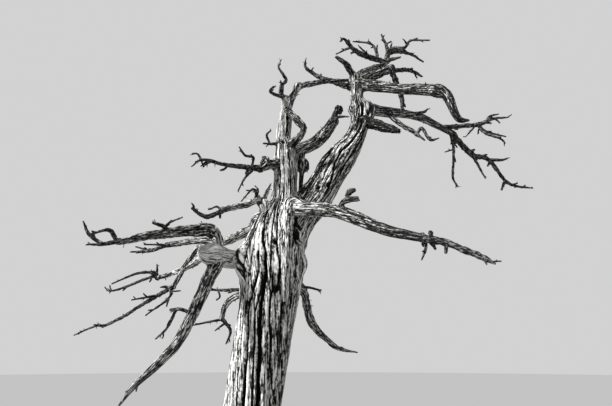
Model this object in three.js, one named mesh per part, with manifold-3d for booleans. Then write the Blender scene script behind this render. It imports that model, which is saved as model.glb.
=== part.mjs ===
// A dead, leafless pine on a mountain top: a fluted trunk that forks into an upright stem and a
// leaning one, broken boughs, and masses of bare twigs.
//
// Lengths are in millimetres and angles in degrees, with +Z up and the origin where the middle of
// the trunk meets the ground. A bearing of 0 points to the right (+X) and 90 points away from the
// viewer (+Y). A climb is the angle above level.

import * as THREE from 'three';
import { mergeVertices } from 'three/addons/utils/BufferGeometryUtils.js';
import Module from 'manifold-3d';

const wasm = await Module();
wasm.setup();

// The middle of the trunk from the ground to the tip of its upright stem.
const trunkStations = [
  { x: 0, y: 0, height: 0, thickness: 1000 },
  { x: 100, y: 20, height: 980, thickness: 950 },
  { x: 180, y: 30, height: 1600, thickness: 1010 },
  { x: 285, y: 10, height: 2480, thickness: 1050 },
  { x: 345, y: 0, height: 3030, thickness: 1200 },
  { x: 365, y: -10, height: 3600, thickness: 1230 },
  { x: 435, y: 0, height: 4210, thickness: 800 },
  { x: 545, y: 20, height: 4640, thickness: 550 },
  { x: 570, y: 30, height: 5090, thickness: 460 },
  { x: 560, y: 20, height: 5550, thickness: 490 },
  { x: 560, y: 0, height: 5800, thickness: 430 },
  { x: 510, y: 0, height: 6040, thickness: 310 },
  { x: 520, y: 10, height: 6430, thickness: 280 },
  { x: 545, y: 10, height: 6730, thickness: 240 },
  { x: 540, y: 0, height: 7100, thickness: 170 },
];

// The split that winds up the front of the trunk: heights and bearings. The corners of the trunk's
// rings turn with it.
const mainSplit = [
  [0, 296], [988, 285], [1372, 279], [1739, 273], [2087, 268], [2414, 263], [2580, 262],
  [2716, 264], [2953, 266], [3262, 263], [3515, 260], [3800, 254], [4038, 246], [4371, 244],
];

// The splits between the trunk's strands. The last stands out instead: it is the strand that
// climbs the trunk and bends over into the right arm.
const trunkFurrows = [
  { path: mainSplit, halfWidth: 54, depth: 135 },
  {
    path: [
      [0, 270], [988, 259], [1432, 252], [1740, 248], [2091, 243], [2423, 237], [2590, 238],
      [2748, 244], [2886, 249], [3079, 251], [3300, 251],
    ],
    halfWidth: 50,
    depth: 70,
  },
  {
    path: [
      [0, 352], [972, 326], [1188, 312], [1461, 301], [1740, 294], [2089, 287], [2414, 280],
      [2915, 279],
    ],
    halfWidth: 50,
    depth: 55,
  },
  {
    path: [[600, 352], [1221, 342], [1490, 326], [1742, 316], [2094, 308], [3179, 304], [3600, 307]],
    halfWidth: 50,
    depth: 50,
  },
  { path: [[0, 46], [1100, 30], [2300, 8], [3400, -4]], halfWidth: 56, depth: 85 },
  { path: [[300, 88], [1500, 66], [2900, 52], [4600, 36]], halfWidth: 58, depth: 100 },
  { path: [[0, 132], [1500, 118], [2600, 104], [3900, 92]], halfWidth: 56, depth: 80 },
  { path: [[100, 182], [1500, 166], [2800, 152], [4300, 138]], halfWidth: 56, depth: 90 },
  { path: [[0, 216], [1300, 207], [2600, 196]], halfWidth: 50, depth: 50 },
  { path: [[3150, 300], [3650, 299], [4084, 301], [4560, 302]], halfWidth: 95, depth: -75 },
];
const furrowFade = 250;

// The two hollows under the right arm, the burl on the right flank and a lump at the back.
const trunkSpots = [
  { bearing: 318, height: 3725, halfWidth: 95, halfHeight: 170, rise: -150 },
  { bearing: 321, height: 4030, halfWidth: 85, halfHeight: 170, rise: -150 },
  { bearing: 350, height: 3290, halfWidth: 150, halfHeight: 260, rise: 75 },
  { bearing: 120, height: 2200, halfWidth: 120, halfHeight: 160, rise: 55 },
];

// Buttresses of the root flare, which end at the flat cut at ground level.
const rootButtresses = [
  { bearing: 184, halfWidth: 32, reach: 150 },
  { bearing: 244, halfWidth: 26, reach: 120 },
  { bearing: 305, halfWidth: 34, reach: 150 },
  { bearing: 15, halfWidth: 32, reach: 130 },
  { bearing: 78, halfWidth: 30, reach: 160 },
  { bearing: 130, halfWidth: 28, reach: 120 },
];
const flareHeight = 900;

// Boughs: `on` carries the bough, `at` is the share of the way along it, `thick` is the thickness
// there, and each run is its length, bearing and climb with the thickness at its end.
const boughs = {
  leaning_stem: {
    on: 'trunk', at: 0.25, thick: 450,
    runs: [[1530, 15, 67, 550], [660, 12, 59, 620], [530, 7, 63, 660], [690, 10, 60, 680],
      [440, 10, 58, 510], [390, 10, 66, 440], [420, 21, 82, 400], [500, 146, 84, 330],
      [560, 57, 84, 290]],
  },
  upper_right_bough: {
    on: 'leaning_stem', at: 0.97, thick: 290, runs: [[1280, 322, -31, 210], [910, 323, -27, 230]],
  },
  upper_right_forearm: {
    on: 'upper_right_bough', at: 0.97, thick: 200,
    runs: [[230, 326, -44, 190], [680, 329, -74, 115], [190, 9, -1, 40]],
  },
  crown_bough: { on: 'leaning_stem', at: 0.98, thick: 230, runs: [[1000, 2, 26, 190]] },
  crown_second_bough: {
    on: 'leaning_stem', at: 0.98, thick: 180,
    runs: [[380, 34, 66, 140], [620, 12, 28, 140], [240, 9, 46, 135]],
  },
  crown_hooked_bough: {
    on: 'leaning_stem', at: 0.98, thick: 220, runs: [[480, 218, 45, 155], [320, 220, 10, 90]],
  },
  bridge_rise: { on: 'trunk', at: 0.92, thick: 150, runs: [[800, 0, 70, 135]] },
  bridge_span: {
    on: 'bridge_rise', at: 0.96, thick: 135, runs: [[940, 19, 24, 90], [460, 18, 15, 70]],
  },
  rising_bough: {
    on: 'trunk', at: 0.68, thick: 260,
    runs: [[740, 24, 31, 260], [390, 31, 47, 270], [620, 30, 57, 230]],
  },
  loop_bough: {
    on: 'trunk', at: 0.69, thick: 150,
    runs: [[640, 312, 29, 105], [280, 146, 63, 115], [590, 129, 49, 110]],
  },
  hanging_burl: {
    on: 'rising_bough', at: 0.17, thick: 120,
    runs: [[200, 20, -80, 100], [100, 0, -86, 260], [160, 180, -88, 290], [110, 180, -88, 100],
      [640, 200, -86, 75]],
  },
  left_upper_bough: {
    on: 'trunk', at: 0.62, thick: 190, runs: [[450, 215, -11, 140], [210, 213, -43, 125]],
  },
  left_middle_bough: {
    on: 'trunk', at: 0.47, thick: 140,
    runs: [[380, 202, 6, 130], [140, 206, 26, 120], [200, 224, -36, 100], [650, 221, -25, 90]],
  },
  left_spike: { on: 'left_middle_bough', at: 0.28, thick: 130, runs: [[490, 298, 34, 25]] },
  crook_bough: {
    on: 'trunk', at: 0.43, thick: 160,
    runs: [[510, 157, 10, 120], [160, 145, -64, 120], [180, 164, -35, 145], [590, 162, -19, 115],
      [450, 165, 10, 100], [800, 168, -3, 85]],
  },
  left_elbow_bough: {
    on: 'trunk', at: 0.33, thick: 360,
    runs: [[680, 208, -3, 330], [570, 218, 1, 315], [110, 219, -9, 260]],
  },
  left_long_riser: {
    on: 'left_elbow_bough', at: 0.6, thick: 180, runs: [[220, 326, 83, 160], [240, 189, 68, 180]],
  },
  left_long_bough: {
    on: 'left_long_riser', at: 0.9, thick: 190,
    runs: [[180, 218, 4, 195], [1110, 223, -18, 100], [380, 230, -23, 80]],
  },
  left_drooping_bough: {
    on: 'left_elbow_bough', at: 0.65, thick: 240,
    runs: [[240, 321, -67, 235], [200, 248, -68, 220], [1370, 251, -57, 135], [820, 237, -41, 70],
      [230, 246, -48, 25]],
  },
  left_thin_bough: {
    on: 'left_elbow_bough', at: 0.72, thick: 120, runs: [[720, 141, -15, 90], [650, 152, -9, 75]],
  },
  left_falling_bough: {
    on: 'left_elbow_bough', at: 0.78, thick: 120, runs: [[300, 140, 31, 95], [920, 143, -45, 85]],
  },
  left_low_bough: {
    on: 'trunk', at: 0.262, thick: 130,
    runs: [[790, 142, -2, 120], [410, 150, -27, 110], [310, 122, -50, 85]],
  },
  right_low_bough: {
    on: 'trunk', at: 0.3, thick: 180,
    runs: [[830, 44, -15, 165], [580, 71, -50, 155], [350, 55, -43, 145], [700, 41, -32, 95],
      [580, 33, -10, 25]],
  },
  right_arm: {
    on: 'trunk', at: 0.47, thick: 230,
    runs: [[630, 303, -19, 265], [750, 339, -10, 240], [1020, 332, -28, 185], [690, 329, -22, 115]],
  },
  lower_right_bough: {
    on: 'leaning_stem', at: 0.798, thick: 330,
    runs: [[300, 17, 15, 320], [320, 26, 9, 250], [1050, 24, 8, 205], [1190, 25, -10, 150]],
  },
  right_side_bough: {
    on: 'lower_right_bough', at: 0.57, thick: 130, runs: [[290, 300, -66, 110], [740, 329, -48, 85]],
  },
  right_broken_stub: {
    on: 'leaning_stem', at: 0.733, thick: 250, runs: [[920, 320, -35, 170], [250, 317, -35, 90]],
  },
  back_low_bough: {
    on: 'trunk', at: 0.37, thick: 230, runs: [[1150, 95, 12, 170], [850, 86, 20, 120]],
  },
  back_upper_bough: {
    on: 'trunk', at: 0.58, thick: 130, runs: [[700, 90, 27, 95], [520, 98, 24, 45]],
  },
  back_leaning_bough: {
    on: 'leaning_stem', at: 0.51, thick: 220, runs: [[900, 86, 26, 140], [480, 80, 26, 60]],
  },
};

// Masses of bare twigs: a stem given like a bough, arms that fork from it, each with the share of
// the way along the stem and its thickness there, and small twigs from the seeded rule below.
const masses = {
  crown_left_twigs: {
    on: 'crown_second_bough', at: 0.93, thick: 120,
    runs: [[730, 196, 8, 115], [320, 208, 23, 90], [210, 226, 21, 50], [130, 221, -32, 25]],
    arms: [
      { at: 0.45, thick: 60, runs: [[470, 137, 9, 25]] },
      { at: 0.07, thick: 80, runs: [[630, 94, 71, 60], [220, 148, 54, 50], [460, 171, 17, 25]] },
      { at: 0.12, thick: 60, runs: [[460, 218, 14, 30]] },
    ],
  },
  crown_right_twigs: {
    on: 'crown_second_bough', at: 0.99, thick: 130, runs: [[390, 0, 82, 95], [580, 147, 77, 25]],
    arms: [
      { at: 0.04, thick: 100, runs: [[280, 303, 54, 90], [440, 315, -26, 70], [190, 321, 42, 55],
        [520, 326, -26, 25]] },
      { at: 0.04, thick: 120, runs: [[310, 40, 69, 110], [740, 23, 17, 65], [420, 21, -18, 30]] },
      { at: 0.02, thick: 110, runs: [[540, 300, -26, 35]] },
      { at: 0.68, thick: 40, runs: [[150, 321, 0, 25]] },
    ],
  },
  crown_drop_twigs: {
    on: 'crown_bough', at: 0.97, thick: 140, runs: [[880, 41, -68, 100], [320, 180, -83, 45]],
    arms: [{ at: 0.03, thick: 110, runs: [[750, 29, 20, 85], [270, 16, -25, 45]] }],
  },
  crown_spur_twigs: {
    on: 'leaning_stem', at: 0.93, thick: 140,
    runs: [[1300, 164, 34, 90], [360, 156, 54, 55], [130, 180, 88, 25]],
    arms: [{ at: 0.4, thick: 40, runs: [[130, 305, 20, 25]] }],
  },
  stem_top_twigs: {
    on: 'trunk', at: 0.99, thick: 110,
    runs: [[180, 219, 43, 85], [160, 292, 68, 80], [160, 342, 54, 65], [450, 171, 66, 40],
      [70, 329, 41, 25]],
    arms: [{ at: 0.05, thick: 75, runs: [[480, 234, -10, 55], [120, 336, 54, 25]] }],
  },
  stem_side_twigs: {
    on: 'trunk', at: 0.75, thick: 80, runs: [[520, 214, -15, 30]],
    arms: [{ at: 0.68, thick: 45, runs: [[210, 204, 66, 40], [130, 330, 34, 20]] }],
  },
  rising_twigs: {
    on: 'rising_bough', at: 0.98, thick: 140, runs: [[500, 32, 72, 90]],
    arms: [{ at: 0.1, thick: 90, runs: [[120, 343, 33, 65], [280, 335, -15, 20]] }],
  },
  left_upper_twigs: {
    on: 'left_upper_bough', at: 0.98, thick: 120,
    runs: [[850, 221, -12, 65], [420, 228, -10, 45], [200, 235, -31, 20]],
    arms: [
      { at: 0.05, thick: 50, runs: [[270, 147, -32, 40], [310, 150, -57, 20]] },
      { at: 0.08, thick: 50, runs: [[210, 302, 70, 45], [160, 200, 5, 40], [210, 234, 33, 20]] },
      { at: 0.53, thick: 35, runs: [[170, 151, -19, 20]] },
      { at: 0.75, thick: 40, runs: [[180, 160, 55, 30], [90, 180, 6, 20]] },
    ],
  },
  left_middle_twigs: {
    on: 'left_middle_bough', at: 0.98, thick: 80, runs: [[460, 231, -31, 80], [320, 233, 11, 40]],
    arms: [{ at: 0.1, thick: 40, runs: [[170, 147, 41, 35], [170, 165, -14, 20]] }],
  },
  left_arch_twigs: {
    on: 'left_middle_bough', at: 0.47, thick: 60, runs: [[240, 243, 46, 40], [450, 229, -49, 15]],
    arms: [{ at: 0.15, thick: 40, runs: [[200, 86, 64, 30], [160, 136, 49, 15]] }],
  },
  crook_twigs: {
    on: 'crook_bough', at: 0.98, thick: 80, runs: [[480, 169, -15, 65], [440, 173, -2, 25]],
    arms: [
      { at: 0.48, thick: 50, runs: [[420, 163, 16, 25]] },
      { at: 0.05, thick: 50, runs: [[490, 196, -4, 20]] },
    ],
  },
  left_long_twigs: {
    on: 'left_long_bough', at: 0.98, thick: 70, runs: [[270, 227, -20, 50], [210, 235, -13, 15]],
    arms: [
      { at: 0.5, thick: 45, runs: [[270, 180, 34, 45], [230, 180, 59, 15]] },
      { at: 0.1, thick: 60, runs: [[200, 232, 48, 55], [300, 229, -24, 15]] },
    ],
  },
  left_long_spur_twigs: {
    on: 'left_long_bough', at: 0.53, thick: 90, runs: [[180, 245, 24, 70], [180, 233, 4, 30]],
    arms: [{ at: 0.35, thick: 40, runs: [[80, 346, 54, 35], [300, 337, 16, 15]] }],
  },
  left_drooping_twigs: {
    on: 'left_drooping_bough', at: 0.52, thick: 60, runs: [[260, 148, 19, 50], [220, 157, -1, 40]],
    arms: [{ at: 0.78, thick: 50, runs: [[300, 144, -58, 35], [310, 147, -33, 15]] }],
  },
  left_thin_twigs: {
    on: 'left_thin_bough', at: 0.98, thick: 70,
    runs: [[130, 151, 15, 55], [960, 161, -13, 35], [130, 168, 2, 15]],
    arms: [{ at: 0.06, thick: 60, runs: [[80, 229, 61, 55], [320, 206, -5, 45],
      [470, 209, -29, 20]] }],
  },
  left_falling_twigs: {
    on: 'left_falling_bough', at: 0.98, thick: 80,
    runs: [[530, 150, -20, 65], [1250, 156, -22, 45], [170, 161, 4, 40], [550, 163, -18, 20]],
    arms: [
      { at: 0.04, thick: 50, runs: [[160, 301, -58, 45], [120, 232, -54, 45], [450, 222, -41, 15]] },
      { at: 0.2, thick: 50, runs: [[460, 196, -13, 20]] },
    ],
  },
  left_low_twigs: {
    on: 'left_low_bough', at: 0.98, thick: 80, runs: [[330, 39, -47, 55], [300, 123, -56, 20]],
    arms: [
      { at: 0.06, thick: 50, runs: [[580, 194, -13, 20]] },
      { at: 0.2, thick: 40, runs: [[280, 158, -30, 20]] },
    ],
  },
  left_slim_twigs: {
    on: 'trunk', at: 0.275, thick: 80, runs: [[990, 146, -2, 60], [630, 164, 5, 25]],
    arms: [{ at: 0.75, thick: 35, runs: [[140, 0, -68, 30], [90, 180, -52, 20]] }],
  },
  right_slim_twigs: { on: 'trunk', at: 0.283, thick: 80, runs: [[1190, 36, -3, 30]], arms: [] },
  right_arm_twigs: {
    on: 'right_arm', at: 0.98, thick: 110,
    runs: [[380, 331, -20, 100], [590, 316, -31, 80], [220, 309, -36, 20]],
    arms: [],
  },
  right_arm_spur_twigs: {
    on: 'right_arm', at: 0.55, thick: 110, runs: [[190, 236, 63, 85], [360, 325, -3, 25]],
    arms: [{ at: 0.75, thick: 60, runs: [[110, 133, 79, 60], [130, 345, 34, 60]] }],
  },
  right_arm_hanging_twigs: {
    on: 'right_arm', at: 0.97, thick: 65, runs: [[150, 12, -49, 50], [250, 161, -70, 15]], arms: [],
  },
  lower_right_twigs: {
    on: 'lower_right_bough', at: 0.99, thick: 145,
    runs: [[800, 27, -36, 130], [490, 17, -9, 105], [710, 25, -45, 80], [430, 20, -15, 60],
      [490, 16, 0, 25]],
    arms: [
      { at: 0.2, thick: 80, runs: [[730, 0, -71, 25]] },
      { at: 0.4, thick: 75, runs: [[370, 0, -2, 65], [180, 0, 19, 30]] },
      { at: 0.6, thick: 70, runs: [[300, 181, -63, 50]] },
    ],
  },
  lower_right_upper_twigs: {
    on: 'lower_right_bough', at: 0.92, thick: 115,
    runs: [[900, 343, -3, 100], [290, 331, 8, 75], [400, 350, 2, 25]],
    arms: [
      { at: 0.56, thick: 60, runs: [[120, 343, 60, 55], [230, 353, 14, 25]] },
      { at: 0.33, thick: 70, runs: [[180, 27, -52, 65], [630, 11, -12, 25]] },
      { at: 0.31, thick: 70, runs: [[350, 316, -64, 60], [400, 345, -35, 40], [140, 336, -61, 20]] },
      { at: 0.3, thick: 50, runs: [[590, 199, -48, 20]] },
    ],
  },
  lower_right_hanging_twigs: {
    on: 'lower_right_bough', at: 0.985, thick: 75,
    runs: [[510, 257, -83, 65], [890, 209, -79, 50], [240, 338, -71, 20]],
    arms: [{ at: 0.34, thick: 35, runs: [[280, 192, -22, 20]] }],
  },
  right_side_twigs: {
    on: 'right_side_bough', at: 0.98, thick: 80, runs: [[300, 323, -51, 25]],
    arms: [{ at: 0.1, thick: 70, runs: [[170, 331, 47, 65], [410, 322, -63, 55],
      [160, 329, -4, 20]] }],
  },
  right_top_twigs: {
    on: 'lower_right_bough', at: 0.7, thick: 70, runs: [[420, 2, 14, 65], [110, 0, 42, 30]],
    arms: [],
  },
  back_low_twigs: {
    on: 'back_low_bough', at: 0.98, thick: 110, runs: [[420, 96, 34, 80], [380, 78, 10, 25]],
    arms: [
      { at: 0.2, thick: 70, runs: [[300, 60, 40, 45], [260, 80, 60, 20]] },
      { at: 0.4, thick: 60, runs: [[280, 130, 20, 40], [220, 110, -20, 20]] },
    ],
  },
};

// The rule that adds small twigs along the stem and the arms of each mass. A twig reaches a share
// of its carrier's length, leaves it at a spread to one side in turn, and bends to a new spread
// part-way. Each `Range` is how much a seeded number may add.
const twigRule = {
  spacing: 260,
  firstPlace: 0.4,
  placeRange: 0.5,
  reachShare: 0.34,
  shortest: 90,
  longest: 250,
  leastLength: 0.6,
  lengthRange: 0.4,
  shorterAtTip: 0.5,
  sideTurn: 90,
  turnRange: 140,
  leastSpread: 35,
  spreadRange: 30,
  leastBend: 0.4,
  bendRange: 0.9,
  firstPart: 0.55,
  leastThickness: 16,
  thicknessShare: 0.55,
  middleShare: 0.8,
  tipShare: 0.5,
  clearance: 25,
};

// Gaps left where two solids meet, and where two masses do.
const gap = 0.45;
const massGap = 2;

// The number of flat sides, rings and sample points of each kind of solid.
const trunkSides = 54;
const trunkRingsPerRun = 3;
const stemSides = 12;
const boughSides = 8;
const twigSides = 4;
const smallTwigSides = 3;
const ringsPerRun = 2;
const twigRingsPerRun = 1;
const samplesPerRun = 8;

const trunkFinish = { color: 0x8c8c8a, roughness: 0.9, metalness: 0 };
const boughFinish = { color: 0x7c7c7b, roughness: 0.88, metalness: 0 };
const twigFinish = { color: 0x5e5e5d, roughness: 0.92, metalness: 0 };

const up = new THREE.Vector3(0, 0, 1);
const right = new THREE.Vector3(1, 0, 0);
const nearlyUpright = 0.9;
const fullTurn = 360;
const halfTurn = 180;

// How close points must be to be made one on a cylinder, a fused mass and a cut solid.
const weldDistance = 1e-4;
const fusedTolerance = 1;
const leastEdge = 0.05;

// The multiplier, step and range of the seeded numbers.
const seedMultiplier = 1664525;
const seedStep = 1013904223;
const seedRange = 2 ** 32;

// A unit vector along a bearing and a climb.
function heading(bearing, climb) {
  const turn = THREE.MathUtils.degToRad(bearing);
  const rise = THREE.MathUtils.degToRad(climb);
  return new THREE.Vector3(
    Math.cos(turn) * Math.cos(rise),
    Math.sin(turn) * Math.cos(rise),
    Math.sin(rise),
  );
}

// A smooth centre line through the given points, with the thickness at each.
function axisThrough(points, thicknesses) {
  return { curve: new THREE.CatmullRomCurve3(points, false, 'centripetal'), thicknesses };
}

// Follows the runs from a root point and returns the limb's axis.
function axisFromRuns(root, thick, runs) {
  const points = [root];
  const thicknesses = [thick];
  for (const [length, bearing, climb, thickness] of runs) {
    points.push(points.at(-1).clone().addScaledVector(heading(bearing, climb), length));
    thicknesses.push(thickness);
  }
  return axisThrough(points, thicknesses);
}

// Radius of an axis at a share of the way along it.
function radiusAt(axis, share) {
  const last = axis.thicknesses.length - 1;
  const place = THREE.MathUtils.clamp(share, 0, 1) * last;
  const run = Math.min(Math.floor(place), last - 1);
  const thickness = THREE.MathUtils.lerp(
    axis.thicknesses[run],
    axis.thicknesses[run + 1],
    place - run,
  );
  return thickness / 2;
}

// Rings along an axis, each square to it and turned as little as possible from the last.
function squareRings(axis, count) {
  const rings = [];
  const start = axis.curve.getTangent(0);
  let normal = Math.abs(start.z) > nearlyUpright ? right.clone() : up.clone();
  for (let i = 0; i <= count; i += 1) {
    const share = i / count;
    const tangent = axis.curve.getTangent(share);
    normal = normal.clone().addScaledVector(tangent, -normal.dot(tangent)).normalize();
    const across = normal.clone().cross(tangent);
    const centre = axis.curve.getPoint(share);
    rings.push({ centre, tangent, normal, across, radius: radiusAt(axis, share) });
  }
  return rings;
}

// How far one bearing is turned from another, from -180 to 180.
function turnBetween(bearing, other) {
  return THREE.MathUtils.euclideanModulo(bearing - other + halfTurn, fullTurn) - halfTurn;
}

// The bearing of a path at a height.
function pathBearing(path, height) {
  const next = path.findIndex(([level]) => level >= height);
  if (next < 1) {
    return path.at(next)[1];
  }
  const [[low, from], [high, to]] = path.slice(next - 1, next + 1);
  return THREE.MathUtils.mapLinear(height, low, high, from, to);
}

// How far the corners of the trunk's ring at a height are turned, so that one lies in the split.
function ringTurn(height) {
  const side = fullTurn / trunkSides;
  const start = mainSplit[0][1];
  return pathBearing(mainSplit, height) - Math.round(start / side) * side;
}

// Level rings along the trunk, so that its foot is a flat cut.
function levelRings(axis, count) {
  const rings = [];
  for (let i = 0; i <= count; i += 1) {
    const share = i / count;
    const centre = axis.curve.getPoint(share);
    const turn = ringTurn(centre.z);
    const normal = heading(turn, 0);
    const across = normal.clone().cross(up);
    rings.push({ centre, tangent: up, normal, across, radius: radiusAt(axis, share), turn });
  }
  return rings;
}

// A dome that falls from 1 at 0 to 0 at 1 and beyond.
function dome(squareOfShare) {
  return Math.max(0, 1 - squareOfShare) ** 2;
}

// What the furrows, spots and root flare add to the trunk's radius at a corner of a ring.
function trunkRelief(corner, { centre, radius, turn }) {
  const bearing = corner + turn;
  const height = centre.z;
  const arc = (other) => THREE.MathUtils.degToRad(turnBetween(bearing, other)) * radius;
  let relief = 0;
  for (const { path, halfWidth, depth } of trunkFurrows) {
    const [[low], [high]] = [path[0], path.at(-1)];
    const above = THREE.MathUtils.smoothstep(height, low - furrowFade, low);
    const below = 1 - THREE.MathUtils.smoothstep(height, high, high + furrowFade);
    relief -= depth * above * below * dome((arc(pathBearing(path, height)) / halfWidth) ** 2);
  }
  for (const { bearing: middle, height: level, halfWidth, halfHeight, rise } of trunkSpots) {
    relief += rise * dome((arc(middle) / halfWidth) ** 2 + ((height - level) / halfHeight) ** 2);
  }
  const flare = Math.max(0, 1 - height / flareHeight) ** 2;
  for (const { bearing: middle, halfWidth, reach } of rootButtresses) {
    relief += reach * flare * dome((turnBetween(bearing, middle) / halfWidth) ** 2);
  }
  return relief;
}

// A closed cylinder of the given sides, bent and swollen to follow the rings.
function bentCylinder(rings, sides, grow, relief) {
  const upright = new THREE.CylinderGeometry(1, 1, 1, sides, rings.length - 1);
  upright.deleteAttribute('normal');
  upright.deleteAttribute('uv');
  const geometry = mergeVertices(upright, weldDistance);
  const position = geometry.attributes.position;
  const last = rings.length - 1;
  for (let i = 0; i < position.count; i += 1) {
    const x = position.getX(i);
    const z = position.getZ(i);
    const index = Math.round((position.getY(i) + 0.5) * last);
    const ring = rings[index];
    const bearing = THREE.MathUtils.radToDeg(Math.atan2(-z, x));
    const radius = ring.radius + grow + relief(bearing, ring);
    const push = (index === last ? grow : 0) - (index === 0 ? grow : 0);
    const corner = ring.centre.clone()
      .addScaledVector(ring.tangent, push)
      .addScaledVector(ring.normal, x * radius)
      .addScaledVector(ring.across, z * radius);
    position.setXYZ(i, corner.x, corner.y, corner.z);
  }
  return geometry;
}

// The same shape as a solid that can be joined and cut.
function solidOf(geometry) {
  return new wasm.Manifold(new wasm.Mesh({
    numProp: 3,
    vertProperties: new Float32Array(geometry.attributes.position.array),
    triVerts: new Uint32Array(geometry.index.array),
  }));
}

// The largest of the separate bodies in a solid.
function largestBody(solid) {
  return solid.decompose().reduce((best, body) => (body.volume() > best.volume() ? body : best));
}

// A named mesh of a solid, with its own origin at the given root point.
function meshOf(name, solid, root, finish) {
  const { vertProperties, triVerts } = solid.getMesh();
  const geometry = new THREE.BufferGeometry();
  geometry.setAttribute('position', new THREE.BufferAttribute(vertProperties, 3));
  geometry.setIndex(new THREE.BufferAttribute(triVerts, 1));
  geometry.translate(-root.x, -root.y, -root.z);
  geometry.computeVertexNormals();
  const mesh = new THREE.Mesh(geometry, new THREE.MeshStandardMaterial(finish));
  mesh.name = name;
  mesh.position.copy(root);
  return mesh;
}

const noRelief = () => 0;

// The solid of a limb, or its sleeve where `grow` is the gap to leave round it.
function limbSolid(axis, sides, perRun, grow) {
  const rings = squareRings(axis, (axis.thicknesses.length - 1) * perRun);
  return solidOf(bentCylinder(rings, sides, grow, noRelief));
}

// The solid of the trunk, or its sleeve.
function trunkSolid(axis, grow) {
  const rings = levelRings(axis, (axis.thicknesses.length - 1) * trunkRingsPerRun);
  return solidOf(bentCylinder(rings, trunkSides, grow, trunkRelief));
}

// Balls along an axis, for testing what lies clear of it.
function samplesOf(axis) {
  const count = (axis.thicknesses.length - 1) * samplesPerRun;
  const samples = [];
  for (let i = 0; i <= count; i += 1) {
    const share = i / count;
    samples.push({ centre: axis.curve.getPoint(share), radius: radiusAt(axis, share) });
  }
  return samples;
}

// A repeatable source of numbers from 0 to 1.
function seededRandom(seed) {
  let state = seed;
  return () => {
    state = (Math.imul(state, seedMultiplier) + seedStep) >>> 0;
    return state / seedRange;
  };
}

// A point some way from another, at a spread in degrees from the first direction to the second.
function pointAway(start, forward, outward, spread, length) {
  const lean = THREE.MathUtils.degToRad(spread);
  return start.clone()
    .addScaledVector(forward, Math.cos(lean) * length)
    .addScaledVector(outward, Math.sin(lean) * length);
}

// One small twig: it leaves its carrier at a spread, to one side in turn, and bends part-way.
function smallTwig(carrier, share, side, reach, random) {
  const rule = twigRule;
  const tangent = carrier.curve.getTangent(share);
  const steep = Math.abs(tangent.z) > nearlyUpright;
  const level = tangent.clone().cross(steep ? right : up).normalize();
  const raised = level.clone().cross(tangent);
  const turn = THREE.MathUtils.degToRad(side * rule.sideTurn + rule.turnRange * (random() - 0.5));
  const outward = level.multiplyScalar(Math.sin(turn)).addScaledVector(raised, Math.cos(turn));
  const spread = rule.leastSpread + rule.spreadRange * random();
  const fullLength = reach * (rule.leastLength + rule.lengthRange * random());
  const length = fullLength * (1 - rule.shorterAtTip * share);
  const bend = spread * (rule.leastBend + rule.bendRange * random());
  const root = carrier.curve.getPoint(share);
  const middle = pointAway(root, tangent, outward, spread, length * rule.firstPart);
  const tip = pointAway(middle, tangent, outward, bend, length * (1 - rule.firstPart));
  const carrierThickness = 2 * radiusAt(carrier, share);
  const thick = Math.max(rule.leastThickness, carrierThickness * rule.thicknessShare);
  return axisThrough(
    [root, middle, tip],
    [thick, thick * rule.middleShare, thick * rule.tipShare],
  );
}

// Whether the outer half of a twig stays clear of the balls of everything else.
function staysClear(twig, others) {
  return samplesOf(twig).slice(samplesPerRun).every((ball) => others.every(
    (other) => ball.centre.distanceTo(other.centre)
      > ball.radius + other.radius + twigRule.clearance,
  ));
}

// The small twigs along one carrier; one that would touch something is skipped.
function twigsAlong(carrier, random, others) {
  const length = carrier.curve.getLength();
  const reach = THREE.MathUtils.clamp(
    length * twigRule.reachShare,
    twigRule.shortest,
    twigRule.longest,
  );
  const count = Math.round(length / twigRule.spacing);
  const twigs = [];
  for (let i = 0; i < count; i += 1) {
    const share = (i + twigRule.firstPlace + twigRule.placeRange * random()) / count;
    const twig = smallTwig(carrier, share, i % 2 ? 1 : -1, reach, random);
    if (staysClear(twig, others)) {
      twigs.push(twig);
    }
  }
  return twigs;
}

// A mass: its stem, arms and small twigs joined in one solid, each thicker by `grow`.
function massSolid(carriers, twigs, grow) {
  return [
    ...carriers.map((axis) => limbSolid(axis, twigSides, twigRingsPerRun, grow)),
    ...twigs.map((axis) => limbSolid(axis, smallTwigSides, twigRingsPerRun, grow)),
  ].reduce((whole, piece) => whole.add(piece));
}

const axes = {
  trunk: axisThrough(
    trunkStations.map(({ x, y, height }) => new THREE.Vector3(x, y, height)),
    trunkStations.map(({ thickness }) => thickness),
  ),
};
for (const [name, { on, at, thick, runs }] of Object.entries({ ...boughs, ...masses })) {
  axes[name] = axisFromRuns(axes[on].curve.getPoint(at), thick, runs);
}

const group = new THREE.Group();
const sleeves = [];

// Cuts a solid clear of every limb made before it, keeps its main body and adds it to the group.
function place(name, solid, finish, sleeve) {
  const cut = sleeves.reduce((left, other) => left.subtract(other), solid);
  const root = axes[name].curve.getPoint(0);
  group.add(meshOf(name, largestBody(cut).simplify(leastEdge), root, finish));
  sleeves.push(sleeve);
}

place('trunk', trunkSolid(axes.trunk, 0), trunkFinish, trunkSolid(axes.trunk, gap));

for (const name of Object.keys(boughs)) {
  const sides = name === 'leaning_stem' ? stemSides : boughSides;
  const finish = name === 'leaning_stem' ? trunkFinish : boughFinish;
  const sleeve = limbSolid(axes[name], sides, ringsPerRun, gap);
  place(name, limbSolid(axes[name], sides, ringsPerRun, 0), finish, sleeve);
}

const limbBalls = ['trunk', ...Object.keys(boughs)].flatMap((name) => samplesOf(axes[name]));
const massBalls = [];

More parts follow.
